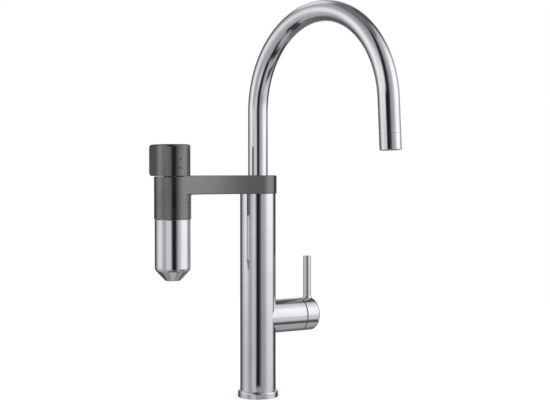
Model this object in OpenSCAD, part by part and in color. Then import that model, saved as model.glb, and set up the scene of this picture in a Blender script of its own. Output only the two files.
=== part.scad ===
// Kitchen mixer tap with a built-in water filter capsule.
// Origin: centre of the base on the worktop. +Z is up, +X points to the mixer
// handle, -X to the filter arm and -Y to the user.

/* [Column] */
// Outer diameter of the column
column_d = 40; // [39:0.5:46]
// Wall of the column tube
column_wall = 2; // [1.6:0.1:2.4]
// Height of the column top, where the filter arm starts
arm_z = 226; // [205:1:260]
// Height of the base flange
flange_h = 7.5; // [6:0.5:12]
// How far the base flange stands out beyond the column
flange_lip = 2.5; // [1.5:0.1:6]
// Rounding of the flange's top edge
flange_edge_r = 2.2; // [0.6:0.1:2.4]

/* [Mixer handle] */
// Height of the handle axis above the worktop
hub_z = 88; // [75:1:110]
// Outer diameter of the handle housing and its cap
hub_d = 37.8; // [37:0.1:39.6]
// Distance from the column axis to the end of the housing
hub_reach = 53.9; // [53:0.1:62]
// Gap between the housing and the handle cap
seam_gap = 1.2; // [0.9:0.1:1.8]
// Length of the handle cap
cap_l = 18.4; // [17.5:0.1:24]
// Rounding of the cap's outer edge
cap_edge_r = 5; // [1:0.5:6]
// Diameter of the lever pin
lever_d = 9.1; // [8:0.1:10]
// Height of the lever's tip above the handle axis
lever_top = 66.4; // [45:0.1:90]
// Distance from the cap's rim to the lever's axis
lever_inset = 10.5; // [10.1:0.1:11.2]
// Largest tilt of the lever, in degrees
tilt_max = 18; // [12:1:20]
// Diameter of the mixing cartridge
cartridge_d = 25; // [24.6:0.1:25.4]

/* [Spout] */
// Outer diameter of the spout tube
spout_d = 22; // [21:0.1:22.6]
// Wall of the spout tube
spout_wall = 1.2; // [1:0.1:1.4]
// Radius of the arch, at the middle of the tube
arch_r = 101; // [80:1:120]
// Angle through which the arch turns
arch_angle = 176.7; // [165:0.1:180]
// Height of the straight leg above the filter arm
leg_h = 70.1; // [50:0.1:110]
// Length of the straight tail of the tube after the arch
tail_l = 34.6; // [25:0.1:50]
// Length of the outlet sleeve
sleeve_l = 16.2; // [15:0.1:22]
// Where the spout rests, in degrees to the handle's side of straight ahead
spout_rest = 8; // [-60:1:60]
// How far the spout swings to each side of straight ahead, in degrees
swing_limit = 70; // [30:1:75]

/* [Filter arm] */
// Distance from the column axis to the capsule axis
arm_l = 106; // [95:1:125]
// Height of the arm
arm_h = 20.3; // [19.5:0.1:24]
// How far the arm's ring stands out beyond the column
ring_lip = 0.9; // [0.6:0.1:3]
// Outer diameter of the capsule holder
holder_d = 39.5; // [39.5:0.1:42]
// How far the holder reaches below the arm
holder_drop = 26; // [25:0.5:32]
// Width of the arm at its waist
arm_waist_w = 27.4; // [24:0.1:36]
// Wall of the arm at its waist
arm_wall = 2.6; // [2:0.1:3]
// Rounding of the arm's long edges
arm_edge_r = 0.8; // [0.3:0.1:1]

/* [Filter knob] */
// Diameter of the round part of the knob
knob_d = 38.2; // [37:0.1:40]
// Height of the knob
knob_h = 34; // [32:0.5:39]
// Gap between the knob and the holder
knob_gap = 0.4; // [0.3:0.1:0.9]
// Rounding of the knob's top edge
knob_edge_r = 2.8; // [0.8:0.1:3.2]
// Rounding of the knob's pointed corner, seen from above
knob_corner_r = 2; // [1:0.1:4]
// Diameter of the dot mark
mark_dot_d = 2.2; // [1.2:0.1:3]
// Length of the dash mark
mark_dash_l = 3.4; // [2:0.1:5]

/* [Filter capsule] */
// Outer diameter of the capsule
capsule_d = 38.4; // [38.4:0.1:40]
// Length of the capsule's straight part
capsule_l = 53.6; // [50:0.1:80]
// Height of the capsule's cone
cone_h = 12; // [9:0.1:16]
// Diameter of the capsule's blunt end
cone_end_d = 15.8; // [14:0.1:20]
// Rounding between the straight part and the cone
cone_edge_r = 6; // [1:0.5:8]
// Wall of the capsule shell
capsule_wall = 1.6; // [1.4:0.1:1.7]
// Gap between the capsule and the holder
capsule_gap = 0.4; // [0.3:0.1:1]

/* [Connections] */
// Thread diameter of the two inlet hoses
hose_thread_d = 10; // [8:0.5:10]
// Depth of the inlet threads
hose_thread_l = 12; // [8:0.5:14]
// Distance between the two inlet threads
hose_pitch = 15; // [14.5:0.1:15.4]
// Thread diameter of the fixing stud
stud_thread_d = 8; // [6:0.5:8]
// Depth of the fixing stud's thread
stud_thread_l = 15; // [10:0.5:18]
// Diameter of the hot, cold and mixed water pipes
pipe_d = 8; // [7.4:0.1:8.2]
// Diameter of the two filter water pipes
thin_pipe_d = 5; // [4.4:0.1:5]

/* [Hidden] */
$fn = 96;

// Clearances: pieces that stay together, pieces that turn, and open gaps
fit = 0.05;
run = 0.1;
gap = 0.35;

// A straight run ends this far inside the bend that it joins, this much thinner than its wall
lap = 0.2;
lap_step = 0.01;

// Column and base
column_r = column_d / 2;
column_bore_r = column_r - column_wall;
insert_r = column_bore_r - fit;
flange_r = column_r + flange_lip;
flange_round = min(flange_edge_r, flange_lip - 0.1);
spigot_wall = 2.8;
spigot_h = 5;
hose_way_r = insert_r - spigot_wall;
seal_w = 2.8;
seal_h = 1.6;
seal_r = column_r - 1;
inlet_z0 = flange_h + spigot_h;
inlet_h = 25.5;
inlet_z1 = inlet_z0 + inlet_h;
stud_back = 9.5;
hose_y = hose_pitch / 2;
hose_drill_r = 0.45 * hose_thread_d;
stud_drill_r = 0.425 * stud_thread_d;

// Pipes
pipe_r = pipe_d / 2;
pipe_wall = 0.8;
thin_r = thin_pipe_d / 2;
thin_wall = 0.8;
pipe_seat = 4;
block_drop = 22;
block_rise = 24;
block_z0 = hub_z - block_drop;
block_z1 = hub_z + block_rise;
mixed_x = 8.2;

// Handle housing, measured outwards along the handle axis
hub_r = hub_d / 2;
pivot_inset = 14.4;
pivot_x = hub_reach - pivot_inset;
dome_r = norm([pivot_inset, hub_r]);
dome_gap = 0.34;
cavity_r = dome_r + dome_gap;
cap_x0 = hub_reach + seam_gap;
cap_x1 = cap_x0 + cap_l;
cap_crown_r = 160;
lever_x = cap_x0 + lever_inset;
lever_r = lever_d / 2;
stem_r = 4;
stem_x1 = cap_x1 - 4.2;
stem_socket_x1 = stem_x1 + 0.2;
dome_hole_r = 12.8;
dome_flange_r = hub_r - 1.4;
dome_seat = 2.5;
dome_spigot_l = 10.4;
grub_r = 2;
grub_x = cap_x0 + 11.4;
plug_r = 2.8;
plug_h = 1.6;

// Cartridge, measured outwards from its seat
cart_r = cartridge_d / 2;
cart_wall = 1.9;
cart_bore_r = cart_r - cart_wall;
cart_l = 27;
snout_r = 11;
seat_x = pivot_x - cart_l;
cart_way_r = cart_r + gap;
cart_gap = 0.3;
base_t = 3.2;
disc_t = 3.5;
fixed_x0 = seat_x + cart_gap + base_t;
moving_x0 = fixed_x0 + disc_t + 0.02;
moving_t = 3;
holder_x0 = moving_x0 + moving_t;
holder_disc_t = 3.5;
ball_arm = 10;
ball_r = 2.8;
neck_r = 2.3;
socket_r = 5;
slot_gap = 0.3;
slot_w = socket_r + slot_gap;
ball_gap = 0.15;
socket_x1 = pivot_x - 8;
carrier_x0 = holder_x0 + holder_disc_t + gap;
carrier_r = cart_bore_r - run;
carrier_neck_r = 8.6;
carrier_x1 = pivot_x + 4;
lip_x0 = pivot_x + 1;
lip_x1 = pivot_x + 2.5;
shift = ball_arm * sin(tilt_max);
moving_r = cart_bore_r - shift / 2 - 0.85;
swing_reach = 5;
swing_w = stem_r + swing_reach * sin(tilt_max) + 2 * ball_gap;
pivot_pin_r = 1.5;
shoulder_x0 = pivot_x - 8.5;
shoulder_t = 3;
shoulder_r = 14.6;
nut_r = 15;
nut_t = 5;
port_y = 5.2;
port_drop = 4.6;
port_rise = 5.6;
port_r = 2.2;

// Spout
spout_r = spout_d / 2;
spout_bore_r = spout_r - spout_wall;
spring_z = arm_z + arm_h + leg_h;
tail_turn = 180 - arch_angle;
spout_azimuth = spout_rest - 90;
spigot_r = spout_r - 1.5;
spigot_bore_r = 6.4;
head_bore_r = spigot_r + run;
head_r = head_bore_r + 2;
head_h = 30;
head_z0 = arm_z - head_h;
head_flange_h = 6;
thin_ring_r = (head_r + column_bore_r) / 2;
thin_angle = 24.5;
thin_x = thin_ring_r * cos(thin_angle);
thin_y = thin_ring_r * sin(thin_angle);
chamber_z = head_z0 + 6;
washer_t = 1;
spout_z0 = arm_z + washer_t + fit;
spigot_z0 = chamber_z + 1;
spigot_lift = 14;
stop_z = spigot_z0 + 3.5;
stop_r = 1.2;
stop_in = 1.5;
clip_z = arm_z - 13.8;
clip_t = 1.3;
clip_gap = 0.15;
clip_depth = 0.7;
oring_r = 0.8;
oring_z = [arm_z - 8, arm_z - 3.5];
tube_r = 2.6;
tube_wall = 0.8;
tube_z0 = head_z0 + 4.2;
neck_l = 6;
tail_step = 0.1;
sleeve_neck_r = spout_bore_r - fit;
sleeve_way_r = 8;
sleeve_step = 6;
aerator_r = 9;
aerator_l = 8;
nozzle_r = 3.4;

// Arm, capsule holder and ring
ring_r = column_r + ring_lip;
holder_r = holder_d / 2;
holder_bore_r = capsule_d / 2 - capsule_wall;
holder_z0 = arm_z - holder_drop;
arm_z1 = arm_z + arm_h;
floor_t = 2.2;
holder_z1 = arm_z1 - 1;
holder_roof = 2.3;
roof_z = holder_z1 - holder_roof;
// Each side is an arc that touches the ring and the holder, with the waist between
waist_y = arm_waist_w / 2;
side_mid = (arm_l * arm_l + ring_r * ring_r - holder_r * holder_r) / (2 * arm_l);
side_lean = (ring_r - holder_r) / arm_l;
side_b = ring_r - waist_y - side_mid * side_lean;
side_c = side_mid * side_mid + waist_y * waist_y - ring_r * ring_r;
arm_side_r = side_c / (side_b + sqrt(side_b * side_b - side_lean * side_lean * side_c));
side_x = -side_mid - side_lean * arm_side_r;
side_y = arm_side_r + waist_y;
cavity_y = waist_y - arm_wall;
cavity_end = 8;
cover_x0 = -arm_l + holder_r + 5;
cover_x1 = -ring_r - 3;
cover_screw_x = [cover_x0 + 7, cover_x1 - 7];
m3_r = 1.5;
m3_head_r = 2.7;
m3_sunk_h = 1.2;
m3_round_h = 2.2;
m3_hex_r = 1.15;
cover_screw_l = 9;
boss_r = 3;
ring_screw_r = (head_r + column_bore_r) / 2;
ring_screw_at = [0, 100, -100];
pipe_z = arm_z + arm_h / 2 + 0.3;
bend_r = 7;
ring_way_r = column_bore_r;
ring_cap_r = ring_way_r + 0.7;
underside_fillet = 1.8;

// Filter head and valve, on the capsule axis
head_block_r = holder_bore_r - 0.1;
thread_r = 14.6;
thread_z0 = holder_z0 + 3;
shoulder_z = holder_z0 + 14;
valve_r = 8.1;
valve_bore_r = valve_r + fit;
valve_z0 = holder_z0 + 24;
valve_collar_r = 10.5;
valve_collar_h = 3;
turret_r = 7;
turret_h = 10.7;
valve_chamber_r = 6.6;
valve_disc_r = 6.5;
valve_disc_t = 2.2;
lip_seal_t = 1.5;
valve_stem_r = 4.5;
knob_stem_r = 4;
nipple_r = 2.6;
nipple_bore_r = nipple_r + fit;
nipple_z1 = shoulder_z - 2;
return_z = shoulder_z + 4;
return_x = 12.2;
raw_x = -5.4;
turret_z1 = holder_z1 + valve_collar_h + turret_h;

// Knob
knob_r = knob_d / 2;
knob_z0 = holder_z1 + knob_gap;
knob_z1 = knob_z0 + knob_h;
knob_hollow_r = knob_r - 2.7;
knob_roof = 4;
knob_tip_r = 4.6;
knob_tip = (knob_r - knob_corner_r) * sqrt(2) + knob_corner_r;
knob_crown_r = 400;
knob_boss_r = 8;
knob_boss_z0 = turret_z1 + 2;
knob_stem_z1 = knob_z1 - knob_roof - 1;
knob_screw_z = knob_boss_z0 + 3.4;
knob_screw_r = 1.5;
knob_plug_r = 1.8;
mark_depth = 0.5;
mark_dash_h = 1.2;
mark_dot_z = knob_z1 - 0.466 * knob_h;
mark_dash_z = knob_z1 - 0.747 * knob_h;

// Capsule and filter pack
capsule_r = capsule_d / 2;
capsule_bore_r = capsule_r - capsule_wall;
capsule_z1 = holder_z0 - capsule_gap;
cone_z = capsule_z1 - capsule_l;
capsule_z0 = cone_z - cone_h;
cone_end_r = cone_end_d / 2;
cone_floor_t = 2;
collar_r = capsule_bore_r - 0.4;
collar_bore_r = thread_r + run;
collar_z0 = capsule_z1 - 9.6;
collar_z1 = shoulder_z - 0.7;
collar_seal_r = 0.65;
pack_gap = 0.3;
case_r = capsule_bore_r - 1;
case_wall = 1.4;
case_z0 = cone_z + 2;
case_z1 = collar_z0 - 0.5;
core_r = 9.1;
foot_r = 5;
top_cap_t = 3.5;
top_cap_r = collar_bore_r - 0.5;
top_cap_z1 = thread_z0 - 2.5;

// Outline helpers. A rounded corner is a true arc.
function unit(v) = v / norm(v);
function turn(a, b) = a[0] * b[1] - a[1] * b[0];

module corner_piece(p, before, after, r) {
  a = unit(before - p);
  b = unit(after - p);
  half = acos(a * b) / 2;
  centre = p + unit(a + b) * r / sin(half);
  difference() {
    polygon([p, p + a * r / tan(half), centre, p + b * r / tan(half)]);
    translate(centre) circle(r = r);
  }
}

// Polygon given anticlockwise, with one radius for each corner
module rounded_polygon(points, radii) {
  last = len(points) - 1;
  difference() {
    union() {
      polygon(points);
      for (i = [0:last]) {
        before = points[i == 0 ? last : i - 1];
        after = points[i == last ? 0 : i + 1];
        if (radii[i] > 0 && turn(points[i] - before, after - points[i]) < 0)
          corner_piece(points[i], before, after, radii[i]);
      }
    }
    for (i = [0:last]) {
      before = points[i == 0 ? last : i - 1];
      after = points[i == last ? 0 : i + 1];
      if (radii[i] > 0 && turn(points[i] - before, after - points[i]) > 0)
        corner_piece(points[i], before, after, radii[i]);
    }
  }
}

module tube(outer_r, inner_r, z0, z1) {
  translate([0, 0, z0]) difference() {
    cylinder(r = outer_r, h = z1 - z0);
    translate([0, 0, -1]) cylinder(r = inner_r, h = z1 - z0 + 2);
  }
}

module lapped_tube(outer_r, inner_r, z0, z1) {
  tube(outer_r - lap_step, inner_r + lap_step, z0, z1);
}

module rod(r, z0, z1) {
  translate([0, 0, z0]) cylinder(r = r, h = z1 - z0);
}

module torus(ring_radius, section_r) {
  rotate_extrude() translate([ring_radius, 0]) circle(r = section_r, $fn = 32);
}

// Places children on the handle axis, their +Z along +X
module on_hub() {
  translate([0, 0, hub_z]) rotate([0, 90, 0]) children();
}

module on_capsule() {
  translate([-arm_l, 0, 0]) children();
}

// Base and column
module base_flange() {
  color("silver") difference() {
    rotate_extrude() rounded_polygon(
      [
        [hose_way_r, 0], [flange_r, 0], [flange_r, flange_h], [insert_r, flange_h],
        [insert_r, inlet_z0], [hose_way_r, inlet_z0]
      ],
      [0, 0, flange_round, 0, 0, 0]
    );
    tube(seal_r + seal_w / 2 + fit, seal_r - seal_w / 2 - fit, -1, seal_h);
  }
}

module base_seal() {
  color("#202020") tube(seal_r + seal_w / 2, seal_r - seal_w / 2, 0, seal_h);
}

module inlet_block() {
  color("goldenrod") difference() {
    rod(insert_r, inlet_z0, inlet_z1);
    for (side = [-1, 1]) translate([0, side * hose_y, 0]) {
      rod(hose_drill_r, inlet_z0 - 1, inlet_z0 + hose_thread_l);
      rod(pipe_r - pipe_wall, inlet_z0, inlet_z1 + 1);
      rod(pipe_r + fit, inlet_z1 - pipe_seat, inlet_z1 + 1);
    }
    translate([-stud_back, 0, 0])
      rod(stud_drill_r, inlet_z0 - 1, inlet_z0 + stud_thread_l);
  }
}

module column_tube() {
  color("silver") difference() {
    union() {
      rod(column_r, flange_h, arm_z);
      on_hub() rod(hub_r, 0, hub_reach);
    }
    rod(column_bore_r, flange_h - 1, arm_z + 1);
    on_hub() rod(cart_way_r, 0, hub_reach);
    on_hub() rod(nut_r, shoulder_x0, hub_reach + 1);
    on_hub() rod(dome_flange_r + fit, hub_reach - dome_seat, hub_reach + 1);
  }
}

module riser(y) {
  translate([0, y, 0]) tube(pipe_r, pipe_r - pipe_wall, inlet_z1 - pipe_seat, block_z0 + pipe_seat);
}

module hot_pipe() {
  color("peru") riser(hose_y);
}

module cold_pipe() {
  color("peru") riser(-hose_y);
}

module mixer_block() {
  way_r = pipe_r - pipe_wall;
  thin_way_r = thin_r - thin_wall;
  beyond = 1;
  color("goldenrod") difference() {
    union() {
      difference() {
        rod(insert_r, block_z0, block_z1);
        translate([seat_x, -column_r, block_z0 - 1]) cube([column_r, column_d, block_z1 - block_z0 + 2]);
      }
      on_hub() rod(snout_r, 0, seat_x);
    }
    for (side = [-1, 1]) translate([0, side * hose_y, 0]) {
      rod(pipe_r + fit, block_z0 - 1, block_z0 + pipe_seat);
      rod(way_r, block_z0, hub_z - port_drop + port_r + beyond);
    }
    on_hub() for (side = [-1, 1]) translate([port_drop, side * port_y, 0])
      rod(port_r, -beyond, seat_x + 1);
    on_hub() translate([-port_rise, 0, 0]) rod(port_r, mixed_x - beyond, seat_x + 1);
    translate([mixed_x, 0, 0]) {
      rod(way_r, hub_z + port_rise - port_r - beyond, block_z1 + 1);
      rod(pipe_r + fit, block_z1 - pipe_seat, block_z1 + 1);
    }
    translate([-thin_x, -thin_y, 0]) {
      rod(thin_way_r, block_z0 + 8, block_z1 + 1);
      rod(thin_r + fit, block_z1 - pipe_seat, block_z1 + 1);
      translate([0, -0.8, block_z0 + 10]) rotate([0, 90, 0]) cylinder(r = thin_way_r, h = thin_x);
    }
  }
}

module mixed_pipe() {
  color("peru") translate([mixed_x, 0, 0])
    tube(pipe_r, pipe_r - pipe_wall, block_z1 - pipe_seat, head_z0 + 3);
}

// Thin pipe that rises in the column, turns and runs along the arm
module thin_section() {
  difference() {
    circle(r = thin_r);
    circle(r = thin_r - thin_wall);
  }
}

module arm_run(side, z0) {
  x_end = -arm_l + head_block_r - pipe_seat;
  translate([0, side * thin_y, 0]) {
    translate([-thin_x, 0, 0]) lapped_tube(thin_r, thin_r - thin_wall, z0, pipe_z - bend_r + lap);
    translate([-thin_x - bend_r, 0, pipe_z - bend_r]) rotate([90, 0, 0])
      rotate_extrude(angle = 90) translate([bend_r, 0]) thin_section();
    translate([x_end, 0, pipe_z]) rotate([0, 90, 0])
      lapped_tube(thin_r, thin_r - thin_wall, 0, lap - x_end - thin_x - bend_r);
  }
}

module filter_feed_pipe() {
  color("lightsteelblue") arm_run(-1, block_z1 - pipe_seat);
}

// It goes down beside the column head, makes a half turn below it and rises into its middle
module filter_return_pipe() {
  z_bend = head_z0 - 8;
  color("lightsteelblue") {
    arm_run(1, z_bend - lap);
    rotate([0, 0, 180 - thin_angle]) translate([thin_ring_r / 2, 0, z_bend]) rotate([90, 0, 0])
      rotate([0, 0, 180]) rotate_extrude(angle = 180) translate([thin_ring_r / 2, 0]) thin_section();
    lapped_tube(thin_r, thin_r - thin_wall, z_bend - lap, head_z0 + 3);
  }
}

module thin_pipe_holes(z0, z1) {
  for (side = [-1, 1]) translate([-thin_x, side * thin_y, 0]) rod(thin_r + run, z0, z1);
}

module column_head() {
  color("goldenrod") difference() {
    union() {
      rod(insert_r, head_z0, chamber_z + 2);
      rod(head_r, head_z0, arm_z);
      rod(insert_r, arm_z - head_flange_h, arm_z);
    }
    rod(head_bore_r, chamber_z, arm_z + 1);
    tube(head_bore_r + clip_depth + run, 1, clip_z - clip_gap, clip_z + clip_t + clip_gap);
    rod(thin_r + fit, head_z0 - 1, head_z0 + 3);
    rod(tube_r + run, head_z0, chamber_z + 1);
    rod(tube_r + 1.15, head_z0 + 4.4, chamber_z + 1);
    translate([mixed_x, 0, 0]) rod(pipe_r + fit, head_z0 - 1, head_z0 + 3);
    translate([mixed_x, 0, 0]) rod(pipe_r - pipe_wall, head_z0, chamber_z + 1);
    thin_pipe_holes(head_z0 - 1, arm_z + 1);
    for (a = ring_screw_at) rotate([0, 0, a]) translate([ring_screw_r, 0, 0])
      rod(m3_r + fit, arm_z - head_flange_h - 1, arm_z + 1);
    translate([0, 0, stop_z]) rotate([-90, 0, 0]) rod(stop_r + fit, 0, head_r + 1);
  }
}

module spout_stop_pin() {
  color("gray") translate([0, 0, stop_z]) rotate([-90, 0, 0])
    rod(stop_r, spigot_r - stop_in, head_r - 0.1);
}

module glide_washer() {
  color("ivory") tube(spout_r, spigot_r + run, arm_z, arm_z + washer_t);
}

module tube_seal() {
  color("#202020") translate([0, 0, head_z0 + 5.1]) torus(tube_r + 0.6, 0.55);
}

// Filter arm
module web_plan() {
  near = unit([side_x, side_y]) * ring_r;
  far = [-arm_l, 0] + unit([side_x + arm_l, side_y]) * holder_r;
  polygon([near, far, [far[0], -far[1]], [near[0], -near[1]]]);
}

// Cutter that hollows one side of the arm and rounds its two edges
module side_cutter() {
  translate([side_x, side_y, 0]) rotate_extrude($fn = 360) {
    translate([0, arm_z - 1]) square([arm_side_r, arm_h + 2]);
    difference() {
      translate([arm_side_r - 1, arm_z1 - arm_edge_r]) square([arm_edge_r + 1, arm_edge_r + 1]);
      translate([arm_side_r + arm_edge_r, arm_z1 - arm_edge_r]) circle(r = arm_edge_r);
    }
    difference() {
      translate([arm_side_r - 1, arm_z - 1]) square([arm_edge_r + 1, arm_edge_r + 1]);
      translate([arm_side_r + arm_edge_r, arm_z + arm_edge_r]) circle(r = arm_edge_r);
    }
  }
}

module arm_web() {
  difference() {
    translate([0, 0, arm_z]) linear_extrude(arm_h) web_plan();
    side_cutter();
    mirror([0, 1, 0]) side_cutter();
    on_capsule() rod(holder_r - 0.1, holder_z1 - 1, arm_z1 + 1);
  }
}

// Soft corner between the underside of the arm and the holder
module underside_corner() {
  intersection() {
    on_capsule() rotate_extrude() translate([holder_r - 0.2, arm_z - underside_fillet])
      difference() {
        square([underside_fillet + 0.2, underside_fillet + 0.2]);
        translate([underside_fillet + 0.2, 0]) circle(r = underside_fillet);
      }
    translate([-arm_l, -waist_y, arm_z - 5]) cube([arm_l / 2, 2 * waist_y, 5.2]);
  }
}

module arm_shell() {
  top_r = holder_r - arm_edge_r - 0.4;
  color("#4a4a4c") difference() {
    union() {
      rotate_extrude() rounded_polygon(
        [[0, arm_z], [ring_r, arm_z], [ring_r, arm_z1], [0, arm_z1]],
        [0, arm_edge_r, arm_edge_r, 0]
      );
      on_capsule() rotate_extrude() rounded_polygon(
        [[0, holder_z0], [holder_r, holder_z0], [holder_r, holder_z1], [0, holder_z1]],
        [0, 0.4, arm_edge_r, 0]
      );
      arm_web();
      underside_corner();
    }
    rod(spout_r + gap, arm_z - 1, arm_z1 + 1);
    rod(ring_way_r, arm_z + floor_t, arm_z1 + 1);
    rod(ring_cap_r, arm_z1 - floor_t, arm_z1 + 1);
    translate([-arm_l + cavity_end, -cavity_y, arm_z + floor_t])
      cube([arm_l - 2 * cavity_end, 2 * cavity_y, arm_h - 2 * floor_t - 0.6]);
    translate([cover_x0, -cavity_y, arm_z - 1])
      cube([cover_x1 - cover_x0, 2 * cavity_y, floor_t + 2]);
    on_capsule() rod(holder_bore_r, holder_z0 - 1, roof_z);
    on_capsule() rod(valve_r + 0.2, holder_z0, holder_z1 + 1);
    thin_pipe_holes(arm_z - 1, arm_z + floor_t + 1);
    for (a = ring_screw_at) rotate([0, 0, a]) translate([ring_screw_r, 0, 0])
      rod(m3_r + fit, arm_z - 1, arm_z + floor_t + 1);
  }
  color("#4a4a4c") for (x = cover_screw_x) translate([x, 0, 0])
    tube(boss_r, m3_r + fit, arm_z + floor_t, arm_z1 - floor_t - 0.6);
}

module arm_cover() {
  color("#3c3c3e") difference() {
    translate([cover_x0 + fit, -cavity_y + fit, arm_z])
      cube([cover_x1 - cover_x0 - 2 * fit, 2 * (cavity_y - fit), floor_t]);
    for (x = cover_screw_x) translate([x, 0, arm_z]) {
      translate([0, 0, -1]) cylinder(r = m3_r + fit, h = floor_t + 2);
      translate([0, 0, -0.01]) cylinder(r1 = m3_head_r + fit, r2 = m3_r + fit, h = m3_sunk_h);
    }
  }
}

module arm_cover_screws() {
  color("dimgray") for (x = cover_screw_x) translate([x, 0, arm_z]) difference() {
    union() {
      cylinder(r1 = m3_head_r, r2 = m3_r, h = m3_sunk_h);
      cylinder(r = m3_r, h = cover_screw_l);
    }
    translate([0, 0, -1]) cylinder(r = m3_hex_r, h = 1 + m3_sunk_h, $fn = 6);
  }
}

module arm_ring_screws() {
  color("dimgray") for (a = ring_screw_at) rotate([0, 0, a]) translate([ring_screw_r, 0, 0])
    difference() {
      union() {
        rod(m3_r, arm_z - head_flange_h + 1, arm_z + floor_t);
        rod(m3_head_r, arm_z + floor_t, arm_z + floor_t + m3_round_h);
      }
      translate([0, 0, arm_z + floor_t + 1]) cylinder(r = m3_hex_r, h = m3_round_h, $fn = 6);
    }
}

module ring_cap() {
  color("#4a4a4c") tube(ring_cap_r - fit, spout_r + gap, arm_z1 - floor_t, arm_z1);
}

// Mixing cartridge
module ports(r, x0, x1) {
  on_hub() {
    for (side = [-1, 1]) translate([port_drop, side * port_y, 0]) rod(r, x0, x1);
    translate([-port_rise, 0, 0]) rod(r, x0, x1);
  }
}

module cartridge_body() {
  color("white") difference() {
    on_hub() {
      rod(cart_r, seat_x + cart_gap, lip_x1);
      rod(shoulder_r, shoulder_x0, shoulder_x0 + shoulder_t);
    }
    on_hub() rod(cart_bore_r, fixed_x0, lip_x0);
    on_hub() rod(carrier_neck_r + run, fixed_x0, lip_x1 + 1);
    ports(port_r, seat_x, fixed_x0 + 1);
    ports(port_r + 1, seat_x, seat_x + cart_gap + 0.9);
  }
}

module cartridge_seals() {
  color("#202020") difference() {
    ports(port_r + 0.95, seat_x, seat_x + cart_gap + 0.9);
    ports(port_r, seat_x - 1, seat_x + 3);
  }
}

module fixed_disc() {
  color("whitesmoke") difference() {
    on_hub() rod(cart_bore_r - fit, fixed_x0, fixed_x0 + disc_t);
    ports(port_r - 0.2, fixed_x0 - 1, fixed_x0 + disc_t + 1);
  }
}

module cartridge_nut() {
  x0 = shoulder_x0 + shoulder_t;
  color("goldenrod") on_hub() difference() {
    tube(nut_r - fit, cart_r + 0.2, x0, x0 + nut_t);
    for (a = [0:60:300]) rotate([0, 0, a]) translate([nut_r, 0, x0 + nut_t - 2]) rod(1, 0, 3);
  }
}

module dome_ring() {
  spigot_x0 = hub_reach - dome_seat - dome_spigot_l;
  color("#303236") on_hub() rotate_extrude() intersection() {
    polygon([
      [dome_hole_r, spigot_x0], [nut_r - fit, spigot_x0], [nut_r - fit, hub_reach - dome_seat],
      [dome_flange_r, hub_reach - dome_seat], [dome_flange_r, cap_x1], [dome_hole_r, cap_x1]
    ]);
    translate([0, pivot_x]) circle(r = dome_r);
  }
}

module cartridge_carrier() {
  color("dimgray") difference() {
    on_hub() {
      rod(carrier_r, carrier_x0, lip_x0 - fit);
      rod(carrier_neck_r, carrier_x0, carrier_x1);
    }
    translate([carrier_x0 - 1, -slot_w, hub_z - slot_w])
      cube([socket_x1 - carrier_x0 + 1 + slot_gap, 2 * slot_w, 2 * slot_w + shift]);
    translate([carrier_x0, -stem_r - ball_gap, hub_z - swing_w])
      cube([carrier_x1, 2 * (stem_r + ball_gap), 2 * swing_w]);
    translate([pivot_x, 0, hub_z]) rotate([90, 0, 0])
      cylinder(r = pivot_pin_r + fit, h = 3 * carrier_r, center = true);
  }
}

module pivot_pin() {
  color("silver") translate([pivot_x, 0, hub_z]) rotate([90, 0, 0])
    cylinder(r = pivot_pin_r, h = 2 * (carrier_neck_r - slot_gap), center = true);
}

module moving_disc() {
  color("whitesmoke") difference() {
    on_hub() translate([shift / 2, 0, 0]) rod(moving_r, moving_x0, moving_x0 + moving_t);
    on_hub() translate([shift / 2 - 1, 0, 0]) rod(moving_r - 3.4, moving_x0 - 1, moving_x0 + 1.6);
  }
}

module disc_holder() {
  color("dimgray") difference() {
    on_hub() {
      translate([shift / 2, 0, 0]) rod(moving_r, holder_x0, holder_x0 + holder_disc_t);
      rod(socket_r, holder_x0, socket_x1);
    }
    translate([pivot_x - ball_arm - ball_r - 2 * ball_gap, -ball_r - ball_gap, hub_z - ball_r - ball_gap])
      cube([2 * ball_r + 5, 2 * (ball_r + ball_gap), 2 * (ball_r + ball_gap)]);
  }
}

// Handle
module cartridge_spindle() {
  color("silver") difference() {
    union() {
      translate([pivot_x - ball_arm, 0, hub_z]) sphere(r = ball_r);
      on_hub() rod(neck_r, pivot_x - ball_arm, pivot_x);
      on_hub() rod(stem_r, pivot_x - 4.5, stem_x1);
    }
    translate([pivot_x, 0, hub_z]) rotate([90, 0, 0])
      cylinder(r = pivot_pin_r + fit, h = 4 * stem_r, center = true);
  }
}

module handle_cap() {
  color("silver") difference() {
    on_hub() rotate_extrude() intersection() {
      rounded_polygon(
        [[0, cap_x0], [hub_r, cap_x0], [hub_r, cap_x1], [0, cap_x1]],
        [0, 0, cap_edge_r, 0]
      );
      translate([0, cap_x1 - cap_crown_r]) circle(r = cap_crown_r, $fn = 360);
    }
    translate([pivot_x, 0, hub_z]) sphere(r = cavity_r);
    on_hub() rod(stem_r + fit, pivot_x, stem_socket_x1);
    translate([lever_x, 0, hub_z]) {
      rod(2.5 + fit, 9, hub_r + 1);
      rod(lever_r + 0.8, hub_r - 0.75, hub_r + 2);
    }
    translate([grub_x, 0, hub_z - hub_r - 1]) {
      cylinder(r = grub_r + fit, h = hub_r);
      cylinder(r = plug_r + fit, h = plug_h + 1.8);
    }
  }
}

module lever_pin() {
  foot_z = hub_r - 0.75;
  color("silver") translate([lever_x, 0, hub_z]) rotate_extrude() rounded_polygon(
    [
      [0, 9.4], [2.5, 9.4], [2.5, foot_z], [lever_r + 0.75, foot_z],
      [lever_r + 0.75, hub_r + 0.1], [lever_r, hub_r + 1.6], [lever_r, lever_top], [0, lever_top]
    ],
    [0, 0, 0, 0, 0.3, 1.6, 0.5, 0]
  );
}

module handle_screw() {
  color("dimgray") translate([grub_x, 0, hub_z]) difference() {
    rod(grub_r, -stem_r - 7, -stem_r);
    translate([0, 0, -stem_r - 8]) cylinder(r = m3_hex_r, h = 3, $fn = 6);
  }
}

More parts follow.
